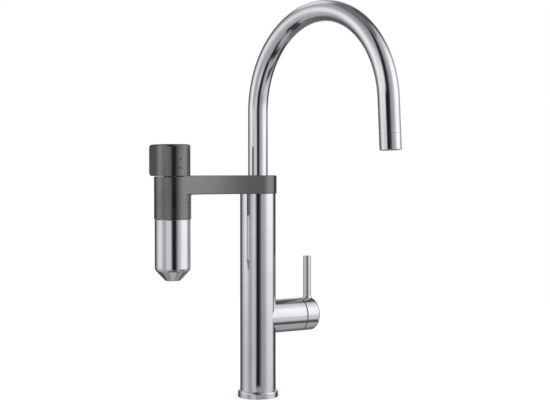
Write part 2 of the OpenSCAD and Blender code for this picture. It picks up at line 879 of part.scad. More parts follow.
module handle_plug() {
  color("silver") intersection() {
    translate([grub_x, 0, hub_z]) rod(plug_r, -hub_r - 1, -hub_r + plug_h + 0.8);
    on_hub() rod(hub_r, cap_x0, cap_x1);
  }
}

// Spout
module at_spout() {
  rotate([0, 0, spout_azimuth]) children();
}

module at_tail(s) {
  at_spout() translate([arch_r + arch_r * cos(tail_turn), 0, spring_z + arch_r * sin(tail_turn)])
    rotate([0, 180 - tail_turn, 0]) translate([0, 0, s]) children();
}

// The leg and the arch share a face, and the tail, thinner by a step, ends inside the arch
module bent_tube(outer_r, inner_r, z0, s1, step) {
  at_spout() {
    tube(outer_r, inner_r, z0, spring_z);
    translate([arch_r, 0, spring_z]) rotate([-90, 0, 0]) rotate([0, 0, 180])
      rotate_extrude(angle = arch_angle) translate([arch_r, 0]) difference() {
        circle(r = outer_r);
        circle(r = inner_r);
      }
  }
  at_tail(0) tube(outer_r - step, inner_r + step, -lap, s1);
}

module spout_tube() {
  color("silver") bent_tube(spout_r, spout_bore_r, spout_z0, tail_l, tail_step);
}

module spout_spigot() {
  notch = 2 * (swing_limit + 9);
  color("goldenrod") at_spout() difference() {
    union() {
      rod(spigot_r, spigot_z0, spout_z0);
      rod(spout_bore_r - fit, spout_z0, spout_z0 + spigot_lift);
    }
    rod(spigot_bore_r, spigot_z0 - 1, spout_z0 + spigot_lift + 1);
    for (z = oring_z) tube(spigot_r + 1, spigot_r - 2 * oring_r - 0.02, z - 1, z + 1);
    tube(spigot_r + 1, spigot_r - clip_depth - run - fit, clip_z - fit, clip_z + clip_t + fit);
    rotate([0, 0, 180 - notch / 2]) translate([0, 0, spigot_z0 - 1]) rotate_extrude(angle = notch)
      translate([1, 0]) square([spigot_r, 6.2]);
  }
}

module spout_seals() {
  color("#202020") at_spout() for (z = oring_z) translate([0, 0, z]) torus(spigot_r - oring_r, oring_r);
}

module spout_snap_ring() {
  color("silver") at_spout() difference() {
    tube(head_bore_r + clip_depth - run, spigot_r - clip_depth - run, clip_z, clip_z + clip_t);
    translate([spigot_r - 2, -1.5, clip_z - 1]) cube([4, 3, clip_t + 2]);
  }
}

module filtered_tube() {
  color("lightsteelblue") bent_tube(tube_r, tube_r - tube_wall, tube_z0, tail_l + sleeve_l - 4, lap_step);
}

module outlet_sleeve() {
  color("silver") at_tail(tail_l) rotate_extrude() rounded_polygon(
    [
      [sleeve_way_r, -neck_l], [sleeve_neck_r, -neck_l], [sleeve_neck_r, 0], [spout_r, 0],
      [spout_r, sleeve_l], [aerator_r + fit, sleeve_l], [aerator_r + fit, sleeve_step],
      [sleeve_way_r, sleeve_step]
    ],
    [0, 0, 0, 0.25, 0.5, 0.3, 0, 0]
  );
}

module aerator_washer() {
  color("#202020") at_tail(tail_l) tube(aerator_r, 6.4, sleeve_step, sleeve_step + 1.5);
}

module aerator() {
  z0 = sleeve_step + 1.5;
  rings = [[10, 5.2], [16, 7.4]];
  color("lightgray") at_tail(tail_l) difference() {
    tube(aerator_r, nozzle_r + fit, z0, z0 + aerator_l);
    for (ring = rings, i = [0:ring[0] - 1]) rotate([0, 0, i * 360 / ring[0]])
      translate([ring[1], 0, z0 - 1]) cylinder(r = 0.8, h = aerator_l + 2, $fn = 24);
  }
}

module filtered_nozzle() {
  z0 = sleeve_step + 1.5;
  color("royalblue") at_tail(tail_l) difference() {
    tube(nozzle_r, tube_r - tube_wall, z0, z0 + aerator_l + 0.3);
    translate([0, 0, z0 - 1]) cylinder(r = tube_r + fit, h = sleeve_l - 4 - z0 + 1.05);
  }
}

// Filter head and valve
module filter_head() {
  thin_way_r = thin_r - thin_wall;
  local_y = thin_y;
  color("dimgray") on_capsule() difference() {
    union() {
      rod(thread_r, thread_z0, shoulder_z);
      rod(head_block_r, shoulder_z, roof_z);
    }
    rod(valve_bore_r, valve_z0, roof_z + 1);
    rod(5, valve_z0 - 2.5, valve_z0 + 1);
    translate([raw_x, 0, 0]) rod(1.5, thread_z0 - 1, valve_z0 - 1);
    rod(nipple_bore_r, thread_z0 - 1, nipple_z1 + 0.5);
    rod(1.6, nipple_z1, return_z);
    translate([0, 0, return_z]) rotate([0, 90, atan2(local_y, return_x)])
      cylinder(r = 1.6, h = norm([return_x, local_y]));
    translate([return_x, local_y, 0]) rod(thin_way_r, return_z - 1.6, pipe_z);
    translate([return_x, local_y, pipe_z]) rotate([0, 90, 0]) rod(thin_way_r, 0, head_block_r);
    translate([2, -local_y, pipe_z]) rotate([0, 90, 0]) rod(thin_way_r, 0, head_block_r);
    for (side = [-1, 1]) translate([0, side * local_y, pipe_z]) rotate([0, 90, 0])
      rod(thin_r + fit, head_block_r - pipe_seat, head_block_r + 1);
  }
}

module valve_body() {
  seat_z = valve_z0 + lip_seal_t;
  thin_way_r = thin_r - thin_wall;
  slot_w = 6;
  slot_h = 4;
  flat_depth = 1.5;
  color("goldenrod") on_capsule() difference() {
    union() {
      rod(valve_r, seat_z, holder_z1);
      rod(valve_collar_r, holder_z1, holder_z1 + valve_collar_h);
      rod(turret_r, holder_z1, turret_z1);
    }
    rod(valve_chamber_r, seat_z - 1, pipe_z + 2);
    rod(valve_stem_r + run, seat_z, turret_z1 + 1);
    translate([-valve_r - 1, -slot_w / 2, pipe_z - slot_h + 0.5]) cube([2 * valve_r + 2, slot_w, slot_h]);
    translate([0, -thin_y, pipe_z]) rotate([0, 90, 0]) rod(thin_way_r, 0, valve_r + 1);
    for (a = [30, 150, 270]) rotate([0, 0, a])
      translate([valve_collar_r - flat_depth, -valve_collar_r, holder_z1 - 0.5])
        cube([flat_depth + 1, 2 * valve_collar_r, valve_collar_h + 1]);
  }
}

module valve_lip_seal() {
  color("#202020") on_capsule() tube(valve_disc_r, 4.9, valve_z0, valve_z0 + lip_seal_t);
}

// Two opposite windows, which the moving disc opens and shuts
module disc_windows(z0, z1) {
  for (a = [0, 180]) rotate([0, 0, a]) translate([3.4, 0, 0]) rod(1.7, z0, z1);
}

module valve_fixed_disc() {
  z0 = valve_z0 + lip_seal_t;
  color("whitesmoke") on_capsule() difference() {
    rod(valve_disc_r, z0, z0 + valve_disc_t);
    disc_windows(z0 - 1, z0 + valve_disc_t + 1);
  }
}

module valve_moving_disc() {
  z0 = valve_z0 + lip_seal_t + valve_disc_t + 0.02;
  color("whitesmoke") on_capsule() difference() {
    rod(valve_disc_r, z0, z0 + valve_disc_t);
    rotate([0, 0, 90]) disc_windows(z0 - 1, z0 + valve_disc_t + 1);
  }
}

module valve_spindle() {
  z0 = valve_z0 + lip_seal_t + 2 * valve_disc_t + 0.02;
  clip_z0 = turret_z1 + 0.1;
  color("silver") on_capsule() difference() {
    union() {
      rod(valve_disc_r, z0, z0 + 2);
      rod(valve_stem_r, z0, clip_z0 + 1.6);
      rod(knob_stem_r, z0, knob_stem_z1);
    }
    rotate([0, 0, 90]) disc_windows(z0 - 1, z0 + 2.4);
    tube(valve_stem_r + 1, valve_stem_r - 0.7, clip_z0, clip_z0 + 0.8);
  }
}

module valve_clip() {
  clip_z0 = turret_z1 + 0.1;
  color("silver") on_capsule() difference() {
    tube(valve_stem_r + 1.4, valve_stem_r - 0.65, clip_z0, clip_z0 + 0.8);
    translate([valve_stem_r - 1.5, -1.2, clip_z0 - 1]) cube([4, 2.4, 3]);
  }
}

// Filter knob
// Slab seen from the side, with its outer edges rounded, for the pointed corner of the knob
module knob_slab(reach, top_r, low_r) {
  width = 2 * knob_r + 10;
  rotate([90, 0, 0]) translate([0, 0, -width / 2]) linear_extrude(width) rounded_polygon(
    [[0, knob_z0], [reach, knob_z0], [reach, knob_z1 - 0.3], [0, knob_z1 - 0.3]],
    [0, low_r, top_r, 0]
  );
}

module mark_cutters() {
  translate([0, -knob_r, mark_dot_z]) rotate([90, 0, 0])
    cylinder(r = mark_dot_d / 2, h = 6, center = true);
  translate([0, -knob_r, mark_dash_z]) cube([mark_dash_l, 6, mark_dash_h], center = true);
}

module filter_knob() {
  ceiling = knob_z1 - knob_roof;
  color("#4a4a4c") on_capsule() difference() {
    union() {
      rotate_extrude() intersection() {
        rounded_polygon(
          [[0, knob_z0], [knob_r, knob_z0], [knob_r, knob_z1], [0, knob_z1]],
          [0, 0.5, knob_edge_r, 0]
        );
        translate([0, knob_z1 - knob_crown_r]) circle(r = knob_crown_r, $fn = 720);
      }
      intersection() {
        translate([0, 0, knob_z0]) linear_extrude(knob_h) rounded_polygon(
          [[-knob_r, 0], [0, 0], [0, knob_r], [-knob_r, knob_r]],
          [0, 0, 0, knob_corner_r]
        );
        rotate([0, 0, 135]) knob_slab(knob_tip, knob_tip_r, knob_tip_r);
        rotate([0, 0, 90]) knob_slab(knob_r, knob_edge_r, 0.5);
        rotate([0, 0, 180]) knob_slab(knob_r, knob_edge_r, 0.5);
      }
    }
    tube(knob_hollow_r, knob_boss_r, knob_boss_z0, ceiling);
    rod(knob_hollow_r, knob_z0 - 1, knob_boss_z0);
    rod(knob_stem_r + fit, knob_z0, knob_stem_z1 + 0.2);
    translate([0, 0, knob_screw_z]) rotate([-90, 0, 0]) rod(knob_screw_r + fit, 0, knob_r + 5);
    translate([0, 0, knob_screw_z]) rotate([-90, 0, 0]) rod(knob_plug_r + fit, knob_hollow_r, knob_r + 5);
    difference() {
      mark_cutters();
      rod(knob_r - mark_depth, knob_z0, knob_z1);
    }
  }
}

module knob_marks() {
  color("#181818") on_capsule() intersection() {
    mark_cutters();
    tube(knob_r, knob_r - mark_depth, knob_z0, knob_z1);
  }
}

module knob_screw() {
  color("dimgray") on_capsule() translate([0, 0, knob_screw_z]) rotate([-90, 0, 0]) difference() {
    rod(knob_screw_r, knob_stem_r, knob_boss_r - 0.1);
    translate([0, 0, knob_boss_r - 1.6]) cylinder(r = 0.85, h = 2, $fn = 6);
  }
}

module knob_plug() {
  color("#4a4a4c") on_capsule() intersection() {
    translate([0, 0, knob_screw_z]) rotate([-90, 0, 0]) rod(knob_plug_r, knob_hollow_r, knob_r + 1);
    rod(knob_r, knob_z0, knob_z1);
  }
}

// Filter capsule and the pack inside it
module capsule_shell() {
  inner_end_r = cone_end_r - 1.2;
  color("silver") on_capsule() rotate_extrude() difference() {
    rounded_polygon(
      [
        [0, capsule_z0], [cone_end_r, capsule_z0 + 0.3], [capsule_r, cone_z],
        [capsule_r, capsule_z1], [0, capsule_z1]
      ],
      [0, 1.5, cone_edge_r, 0.4, 0]
    );
    polygon([
      [0, capsule_z0 + cone_floor_t], [inner_end_r, capsule_z0 + cone_floor_t],
      [capsule_bore_r, cone_z + 0.8], [capsule_bore_r, capsule_z1 + 1], [0, capsule_z1 + 1]
    ]);
  }
}

module capsule_collar() {
  color("silver") on_capsule() difference() {
    union() {
      rod(capsule_bore_r - fit, collar_z0, capsule_z1);
      rod(collar_r, collar_z0, collar_z1);
    }
    rod(collar_bore_r, collar_z0 - 1, collar_z1 + 1);
    tube(collar_bore_r + 2 * collar_seal_r, 1, collar_z1 - 3.4, collar_z1 - 1.9);
  }
}

module capsule_seal() {
  color("#202020") on_capsule() translate([0, 0, collar_z1 - 2.65])
    torus(thread_r + fit + collar_seal_r, collar_seal_r);
}

module filter_case() {
  color("white") on_capsule() difference() {
    union() {
      rod(case_r, case_z0, case_z1);
      rod(foot_r, capsule_z0 + cone_floor_t + pack_gap, case_z0 + 1);
    }
    rod(case_r - case_wall, case_z0 + case_wall, case_z1 + 1);
  }
}

module filter_top_cap() {
  color("royalblue") on_capsule() difference() {
    union() {
      rod(case_r - case_wall - fit, case_z1 - top_cap_t, case_z1);
      rod(top_cap_r, case_z1 - top_cap_t, top_cap_z1);
      rod(nipple_r, top_cap_z1, nipple_z1);
    }
    rod(nipple_r - 0.9, case_z1 - top_cap_t - 1, nipple_z1 + 1);
    for (a = [30:60:330]) rotate([0, 0, a]) translate([top_cap_r - 3, 0, 0])
      rod(1.2, case_z1 - top_cap_t - 1, top_cap_z1 + 1);
  }
}

module carbon_block() {
  color("#2a2a2a") on_capsule()
    tube(case_r - case_wall - fit, core_r + fit, case_z0 + case_wall, case_z1 - top_cap_t);
}

module membrane_bundle() {
  color("honeydew") on_capsule() rod(core_r, case_z0 + case_wall, case_z1 - top_cap_t);
}

base_flange();
base_seal();
inlet_block();
column_tube();
hot_pipe();
cold_pipe();
mixer_block();
mixed_pipe();
filter_feed_pipe();
filter_return_pipe();
column_head();
spout_stop_pin();
glide_washer();
tube_seal();
arm_shell();
arm_cover();
arm_cover_screws();
arm_ring_screws();
ring_cap();
cartridge_body();
cartridge_seals();
fixed_disc();
cartridge_nut();
dome_ring();
filter_head();
valve_body();
valve_lip_seal();
valve_fixed_disc();
cartridge_carrier();
pivot_pin();
moving_disc();
disc_holder();
cartridge_spindle();
handle_cap();
lever_pin();
handle_screw();
handle_plug();
spout_tube();
spout_spigot();
spout_seals();
spout_snap_ring();
filtered_tube();
outlet_sleeve();
aerator_washer();
aerator();
filtered_nozzle();
filter_knob();
knob_marks();
knob_screw();
knob_plug();
valve_spindle();
valve_moving_disc();
valve_clip();
capsule_shell();
capsule_collar();
capsule_seal();
filter_case();
filter_top_cap();
carbon_block();
membrane_bundle();
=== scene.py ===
"""Looks of a kitchen mixer tap with a built-in water filter capsule.

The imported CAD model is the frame. The chromed shells and the lever are modelled here as
smooth meshes at the CAD's sizes, and every other node keeps its mesh. Each piece gets a
procedural finish. Lengths are in metres, and angles in degrees.
"""

import logging
from dataclasses import dataclass
from enum import Enum
from math import asin, cos, degrees, pi, radians, sin, tan
from typing import ClassVar, Iterable, Optional, Sequence, Union

import bmesh
import bpy
from mathutils import Matrix, Vector


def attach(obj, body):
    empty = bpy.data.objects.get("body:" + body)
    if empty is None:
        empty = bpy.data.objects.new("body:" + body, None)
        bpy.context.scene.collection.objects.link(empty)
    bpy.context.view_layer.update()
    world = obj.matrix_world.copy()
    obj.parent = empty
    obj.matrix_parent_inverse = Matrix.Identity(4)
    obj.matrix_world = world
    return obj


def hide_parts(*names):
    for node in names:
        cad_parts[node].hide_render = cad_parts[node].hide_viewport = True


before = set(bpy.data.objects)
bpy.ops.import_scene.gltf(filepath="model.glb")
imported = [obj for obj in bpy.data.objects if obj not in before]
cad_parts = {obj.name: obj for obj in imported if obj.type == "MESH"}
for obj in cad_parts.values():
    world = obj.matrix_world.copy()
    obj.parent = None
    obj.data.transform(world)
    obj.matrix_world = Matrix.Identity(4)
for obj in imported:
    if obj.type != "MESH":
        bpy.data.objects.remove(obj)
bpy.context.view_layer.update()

logging.basicConfig(level=logging.INFO, format="%(name)s: %(message)s")
LOG = logging.getLogger("tap")

MM = 0.001
FULL_TURN = 2 * pi
AXIS_REACH = 1e-9
MERGE_REACH = 1e-7

Number = Union[float, int]
Colour = tuple[float, float, float]
Triple = tuple[float, float, float]
Span = tuple[float, float, float, float]


class Slot(Enum):
    """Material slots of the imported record."""

    CHROME = "chrome"
    GUNMETAL = "satin_gunmetal"
    MARK = "mark_fill"
    BRASS = "brass"
    COPPER = "copper"
    STEEL = "steel"
    HOSE = "water_hose"
    RUBBER = "rubber"
    CERAMIC = "ceramic"
    WHITE = "white_plastic"
    GREY = "grey_plastic"
    BLUE = "blue_plastic"
    CARBON = "carbon"
    MEMBRANE = "membrane"


class Body(Enum):
    """Bodies of the frame that new pieces ride on."""

    ROOT = "root"
    LEVER = "lever_tilt"
    SPOUT = "spout"
    CAPSULE = "capsule"


# Shader expressions


class Shade:
    """Socket of a node tree that takes part in Python expressions."""

    def __init__(self, net: "Network", socket: Optional[bpy.types.NodeSocket]) -> None:
        """Wraps an output socket of a network."""
        self.net = net
        self.socket = socket

    def _math(self, operation: str, *terms: Union["Shade", Number]) -> "Shade":
        """Adds one Math node over the given terms."""
        return self.net.node("ShaderNodeMath", {"operation": operation}, dict(enumerate(terms)))

    def __add__(self, other: Union["Shade", Number]) -> "Shade":
        """Sum of two values."""
        return self._math("ADD", self, other)

    def __radd__(self, other: Number) -> "Shade":
        """Sum with a plain number on the left."""
        return self._math("ADD", other, self)

    def __sub__(self, other: Union["Shade", Number]) -> "Shade":
        """Difference of two values."""
        return self._math("SUBTRACT", self, other)

    def __rsub__(self, other: Number) -> "Shade":
        """Difference from a plain number."""
        return self._math("SUBTRACT", other, self)

    def __mul__(self, other: Union["Shade", Number]) -> "Shade":
        """Product of two values."""
        return self._math("MULTIPLY", self, other)

    def __rmul__(self, other: Number) -> "Shade":
        """Product with a plain number on the left."""
        return self._math("MULTIPLY", other, self)

    def __abs__(self) -> "Shade":
        """Absolute value."""
        return self._math("ABSOLUTE", self)

    def sine(self) -> "Shade":
        """Sine of this value in radians."""
        return self._math("SINE", self)

    def arcsine(self) -> "Shade":
        """Angle whose sine is this value, in radians."""
        return self._math("ARCSINE", self)

    def angle_to(self, other: "Shade") -> "Shade":
        """Angle whose sine follows this value and whose cosine follows the other, in radians."""
        return self._math("ARCTAN2", self, other)

    def ramp(
        self,
        low: float,
        high: float,
        to_low: float = 0.0,
        to_high: float = 1.0,
        soft: bool = False,
    ) -> "Shade":
        """Maps the span low..high of the value to to_low..to_high, clamped.

        Args:
            low: Value that gives to_low.
            high: Value that gives to_high.
            to_low: Result at low and beyond it.
            to_high: Result at high and beyond it.
            soft: Whether the ends ease in and out.

        Returns:
            The mapped value.
        """
        settings = {"clamp": True, "interpolation_type": "SMOOTHSTEP" if soft else "LINEAR"}
        ends = {"From Min": low, "From Max": high, "To Min": to_low, "To Max": to_high}
        return self.net.node("ShaderNodeMapRange", settings, {"Value": self, **ends})


class Network:
    """Node tree of a material or a world, emptied and ready for expressions."""

    def __init__(self, owner: Union[bpy.types.Material, bpy.types.World]) -> None:
        """Takes over the owner's tree.

        Args:
            owner: Material or world whose nodes are replaced.
        """
        owner.use_nodes = True
        self.tree = owner.node_tree
        self.tree.nodes.clear()

    def node(
        self,
        kind: str,
        settings: Optional[dict] = None,
        inputs: Optional[dict] = None,
        output: Union[int, str] = 0,
    ) -> Shade:
        """Adds a node.

        Args:
            kind: Blender's type name of the node.
            settings: Properties that are set first.
            inputs: Values or Shades by socket name or number.
            output: Name or number of the socket that is returned.

        Returns:
            The chosen output as a Shade, which is empty for a node without outputs.
        """
        made = self.tree.nodes.new(kind)
        for key, value in (settings or {}).items():
            setattr(made, key, value)
        for key, value in (inputs or {}).items():
            if isinstance(value, Shade):
                self.tree.links.new(value.socket, made.inputs[key])
            else:
                made.inputs[key].default_value = value
        return Shade(self, made.outputs[output] if len(made.outputs) else None)

    def place(self) -> Shade:
        """Object coordinates, which are the frame's own coordinates in metres."""
        return self.node("ShaderNodeTexCoord", output="Object")

    def stretched(self, scale: Triple) -> Shade:
        """Object coordinates with a scale for each axis."""
        return self.node("ShaderNodeMapping", inputs={"Vector": self.place(), "Scale": scale})

    def noise(self, scale: float, detail: float, at: Optional[Shade] = None) -> Shade:
        """Noise between 0 and 1.

        Args:
            scale: Features for each metre.
            detail: Octaves.
            at: Coordinates; the object's own by default.

        Returns:
            The noise value.
        """
        terms = {"Vector": at or self.place(), "Scale": scale, "Detail": detail}
        return self.node("ShaderNodeTexNoise", inputs=terms)

    def cells(self, scale: float, at: Shade) -> Shade:
        """Distance to the middle of the nearest of many cells.

        Args:
            scale: Cells for each unit of the coordinates.
            at: Coordinates.

        Returns:
            The distance, 0 in a cell's middle.
        """
        terms = {"Vector": at, "Scale": scale}
        return self.node("ShaderNodeTexVoronoi", inputs=terms, output="Distance")

    def bump(self, height: Shade, strength: float, depth: float) -> Shade:
        """Normal bent by a height field.

        Args:
            height: Height between 0 and 1.
            strength: Share of the effect, 0 to 1.
            depth: Height of 1, in metres.

        Returns:
            The bent normal.
        """
        terms = {"Height": height, "Strength": strength, "Distance": depth}
        return self.node("ShaderNodeBump", inputs=terms)

    def tinted(self, low: Colour, high: Colour, share: Shade) -> Shade:
        """Mixes two colours by a value."""
        terms = {"Factor": share, 6: (*low, 1.0), 7: (*high, 1.0)}
        return self.node("ShaderNodeMix", {"data_type": "RGBA"}, terms, 2)

    def veil(self, share: Shade, first: Shade, second: Shade) -> None:
        """Hands the material's output a mix of two shaders.

        Args:
            share: Share of the second shader.
            first: Shader where the share is 0.
            second: Shader where the share is 1.
        """
        mixed = self.node("ShaderNodeMixShader", inputs={0: share, 1: first, 2: second})
        self.node("ShaderNodeOutputMaterial", inputs={"Surface": mixed})


# Finishes. A field that counts features does so for each metre.


@dataclass(frozen=True)
class Finish:
    """Surface finish of one material slot."""

    slot: Slot
    colour: Colour
    roughness: float

    def material(self) -> bpy.types.Material:
        """Builds the material.

        Returns:
            A node material with the finish's name.
        """
        made = bpy.data.materials.new(f"{type(self).__name__}_{self.slot.value}")
        net = Network(made)
        shader = net.node("ShaderNodeBsdfPrincipled", inputs=self.sockets(net), output="BSDF")
        net.node("ShaderNodeOutputMaterial", inputs={"Surface": shader})
        return made

    def sockets(self, net: Network) -> dict:
        """Values and expressions for the shader's sockets."""
        return {"Base Color": (*self.colour, 1.0), "Roughness": self.roughness}

    def scaled(self, share: float) -> Colour:
        """The finish's colour, darker or lighter by a share."""
        return tuple(share * part for part in self.colour)


@dataclass(frozen=True)
class PolishedChrome(Finish):
    """Mirror plating with a faint haze and the soft waviness of a buffed tube."""

    smudges: float = 38.0
    haze: float = 0.035
    haze_shade: float = 0.93
    buffing: Triple = (900.0, 900.0, 60.0)
    buffed: float = 0.012
    waves: float = 160.0
    wave: float = 0.02
    wave_depth: float = 0.0004

    def sockets(self, net: Network) -> dict:
        """Values and expressions for the shader's sockets."""
        smudge = net.noise(self.smudges, detail=4.0).ramp(low=0.38, high=0.68)
        streaks = net.noise(1.0, detail=3.0, at=net.stretched(self.buffing))
        wave = net.noise(self.waves, detail=1.0)
        return {
            "Base Color": net.tinted(self.colour, self.scaled(self.haze_shade), smudge),
            "Metallic": 1.0,
            "Roughness": self.roughness + self.haze * smudge + self.buffed * streaks,
            "Normal": net.bump(wave, self.wave, self.wave_depth),
        }


@dataclass(frozen=True)
class SatinCoating(Finish):
    """Dark metallic coating, blasted before it was coated, with fine flakes in it."""

    grains: float = 5200.0
    clouds: float = 45.0
    flake: float = 0.12
    grain_share: float = 0.7
    uneven: float = 0.08
    relief: float = 0.05
    depth: float = 0.00006

    def sockets(self, net: Network) -> dict:
        """Values and expressions for the shader's sockets."""
        grain = net.noise(self.grains, detail=2.0)
        cloud = net.noise(self.clouds, detail=3.0).ramp(low=0.3, high=0.7)
        mixed = self.grain_share * grain + (1.0 - self.grain_share) * cloud
        dark, light = self.scaled(1.0 - self.flake), self.scaled(1.0 + self.flake)
        return {
            "Base Color": net.tinted(dark, light, mixed.ramp(low=0.3, high=0.7)),
            "Metallic": 1.0,
            "Roughness": self.roughness + self.uneven * (cloud - 0.5),
            "Normal": net.bump(grain, self.relief, self.depth),
        }


@dataclass(frozen=True)
class TurnedMetal(Finish):
    """Bare metal with the fine grooves of a lathe tool and a little tarnish."""

    groove: float = 0.00045
    stains: float = 140.0
    tarnish: float = 0.25
    dulling: float = 0.14
    grooving: float = 0.05
    relief: float = 0.2
    depth: float = 0.00003

    def sockets(self, net: Network) -> dict:
        """Values and expressions for the shader's sockets."""
        height = net.node("ShaderNodeSeparateXYZ", inputs={"Vector": net.place()}, output="Z")
        rings = (height * (FULL_TURN / self.groove)).sine().ramp(low=-1.0, high=1.0)
        patina = net.noise(self.stains, detail=5.0).ramp(low=0.42, high=0.72)
        return {
            "Base Color": net.tinted(self.colour, self.scaled(1.0 - self.tarnish), patina),
            "Metallic": 1.0,
            "Roughness": self.roughness + self.dulling * patina + self.grooving * rings,
            "Normal": net.bump(rings, self.relief, self.depth),
        }


@dataclass(frozen=True)
class MouldedPlastic(Finish):
    """Injection moulded plastic with a fine sparked grain."""

    grains: float = 2600.0
    depth: float = 0.00003
    flows: float = 60.0
    flow_shade: float = 0.9
    uneven: float = 0.1
    relief: float = 0.3

    def sockets(self, net: Network) -> dict:
        """Values and expressions for the shader's sockets."""
        texture = net.noise(self.grains, detail=3.0)
        flow = net.noise(self.flows, detail=3.0).ramp(low=0.3, high=0.7)
        return {
            "Base Color": net.tinted(self.colour, self.scaled(self.flow_shade), flow),
            "Roughness": self.roughness + self.uneven * (texture - 0.5),
            "Normal": net.bump(texture, self.relief, self.depth),
        }


@dataclass(frozen=True)
class SoftRubber(Finish):
    """Dull black rubber with a bloom of powder."""

    patches: float = 420.0
    powder: float = 0.035
    dulling: float = 0.12
    grains: float = 3000.0
    relief: float = 0.25
    depth: float = 0.00004

    def sockets(self, net: Network) -> dict:
        """Values and expressions for the shader's sockets."""
        bloom = net.noise(self.patches, detail=5.0).ramp(low=0.45, high=0.8)
        powdered = tuple(part + self.powder for part in self.colour)
        return {
            "Base Color": net.tinted(self.colour, powdered, bloom),
            "Roughness": self.roughness + self.dulling * bloom,
            "Normal": net.bump(net.noise(self.grains, detail=2.0), self.relief, self.depth),
        }


@dataclass(frozen=True)
class LappedCeramic(Finish):
    """Dense white ceramic, lapped flat, with faint dark pores."""

    specks: float = 2400.0
    pore_shade: float = 0.72
    pore_dulling: float = 0.3
    polish: float = 0.3

    def sockets(self, net: Network) -> dict:
        """Values and expressions for the shader's sockets."""
        pores = net.noise(self.specks, detail=4.0).ramp(low=0.66, high=0.78)
        return {
            "Base Color": net.tinted(self.colour, self.scaled(self.pore_shade), pores),
            "Roughness": self.roughness + self.pore_dulling * pores,
            "Coat Weight": self.polish,
        }


@dataclass(frozen=True)
class PressedGranules(Finish):
    """Block of pressed grains with open pores between them, with painted light on the grains'
    middles and painted shade towards the pores.
    """

    grains: float = 1500.0
    # brightness of the painted light on each grain's middle
    painted_grain_light: float = 2.4
    wear: float = 0.2
    relief: float = 0.8
    depth: float = 0.0003

    def sockets(self, net: Network) -> dict:
        """Values and expressions for the shader's sockets."""
        cells = net.cells(self.grains, at=net.place())
        light = self.scaled(self.painted_grain_light)
        return {
            # painted light on the raised grain middles and painted shade in the recessed pores
            "Base Color": net.tinted(light, self.colour, cells.ramp(low=0.1, high=0.6)),
            "Roughness": self.roughness - self.wear * cells,
            "Normal": net.bump(1.0 - cells, self.relief, self.depth),
        }


@dataclass(frozen=True)
class FibreBundle(Finish):
    """Upright hollow fibres packed side by side, with painted shade in the gaps between them."""

    fibres: float = 1800.0
    slender: float = 90.0
    # share of colour left in the gaps under the painted shade
    painted_gap_shade: float = 0.6
    dulling: float = 0.2
    relief: float = 0.6
    depth: float = 0.0002

    def sockets(self, net: Network) -> dict:
        """Values and expressions for the shader's sockets."""
        upright = net.stretched((self.fibres, self.fibres, self.fibres / self.slender))
        strands = net.cells(1.0, at=upright)
        shaded_gaps = strands.ramp(low=0.2, high=0.8)
        return {
            # painted shade in the recessed gaps between the fibres
            "Base Color": net.tinted(self.colour, self.scaled(self.painted_gap_shade), shaded_gaps),
            "Roughness": self.roughness + self.dulling * strands,
            "Normal": net.bump(1.0 - strands, self.relief, self.depth),
        }


FINISHES: tuple[Finish, ...] = (
    PolishedChrome(Slot.CHROME, (0.848, 0.866, 0.9), 0.04),
    SatinCoating(Slot.GUNMETAL, (0.224, 0.223, 0.224), 0.22),
    MouldedPlastic(Slot.MARK, (0.03, 0.03, 0.03), 0.5),
    TurnedMetal(Slot.BRASS, (0.78, 0.6, 0.3), 0.28),
    TurnedMetal(Slot.COPPER, (0.85, 0.5, 0.35), 0.24),
    TurnedMetal(Slot.STEEL, (0.62, 0.62, 0.63), 0.26, tarnish=0.08),
    MouldedPlastic(Slot.HOSE, (0.74, 0.8, 0.88), 0.32, depth=0.00001),
    SoftRubber(Slot.RUBBER, (0.025, 0.025, 0.026), 0.62),
    LappedCeramic(Slot.CERAMIC, (0.88, 0.88, 0.86), 0.12),
    MouldedPlastic(Slot.WHITE, (0.84, 0.84, 0.82), 0.42),
    MouldedPlastic(Slot.GREY, (0.14, 0.145, 0.15), 0.48),
    MouldedPlastic(Slot.BLUE, (0.06, 0.2, 0.5), 0.3),
    PressedGranules(Slot.CARBON, (0.018, 0.018, 0.019), 0.85),
    FibreBundle(Slot.MEMBRANE, (0.86, 0.87, 0.82), 0.55),
)


class Palette:
    """Materials of the tap by slot."""

    def __init__(self, finishes: Iterable[Finish]) -> None:
        """Builds one material for each finish."""
        self.materials = {finish.slot: finish.material() for finish in finishes}

    def dress(self, piece: bpy.types.Object, slot: Slot) -> None:
        """Puts a slot's material on all slots of a piece.

        Args:
            piece: Mesh object.
            slot: Which finish it gets.
        """
        if not piece.data.materials:
            piece.data.materials.append(None)
        for index in range(len(piece.data.materials)):
            piece.data.materials[index] = self.materials[slot]


# Mesh helpers


@dataclass(frozen=True)
class Corner:
    """Corner of a section: distance from the axis, height, and rounding."""

    out: float
    up: float
    round: float = 0.0


def arc_corners(
    up: float, radius: float, start: float, end: float, chords: int
) -> list[Corner]:
    """Corners along an arc of a section whose centre is on the axis.

    Args:
        up: Height of the arc's centre.
        radius: Radius of the arc.
        start: Direction of the first corner seen from the centre, from outwards to up.
        end: Direction of the last corner.
        chords: Number of chords.

    Returns:
        The corners in order.
    """
    turns = (radians(start + (end - start) * i / chords) for i in range(chords + 1))
    return [Corner(radius * cos(turn), up + radius * sin(turn)) for turn in turns]


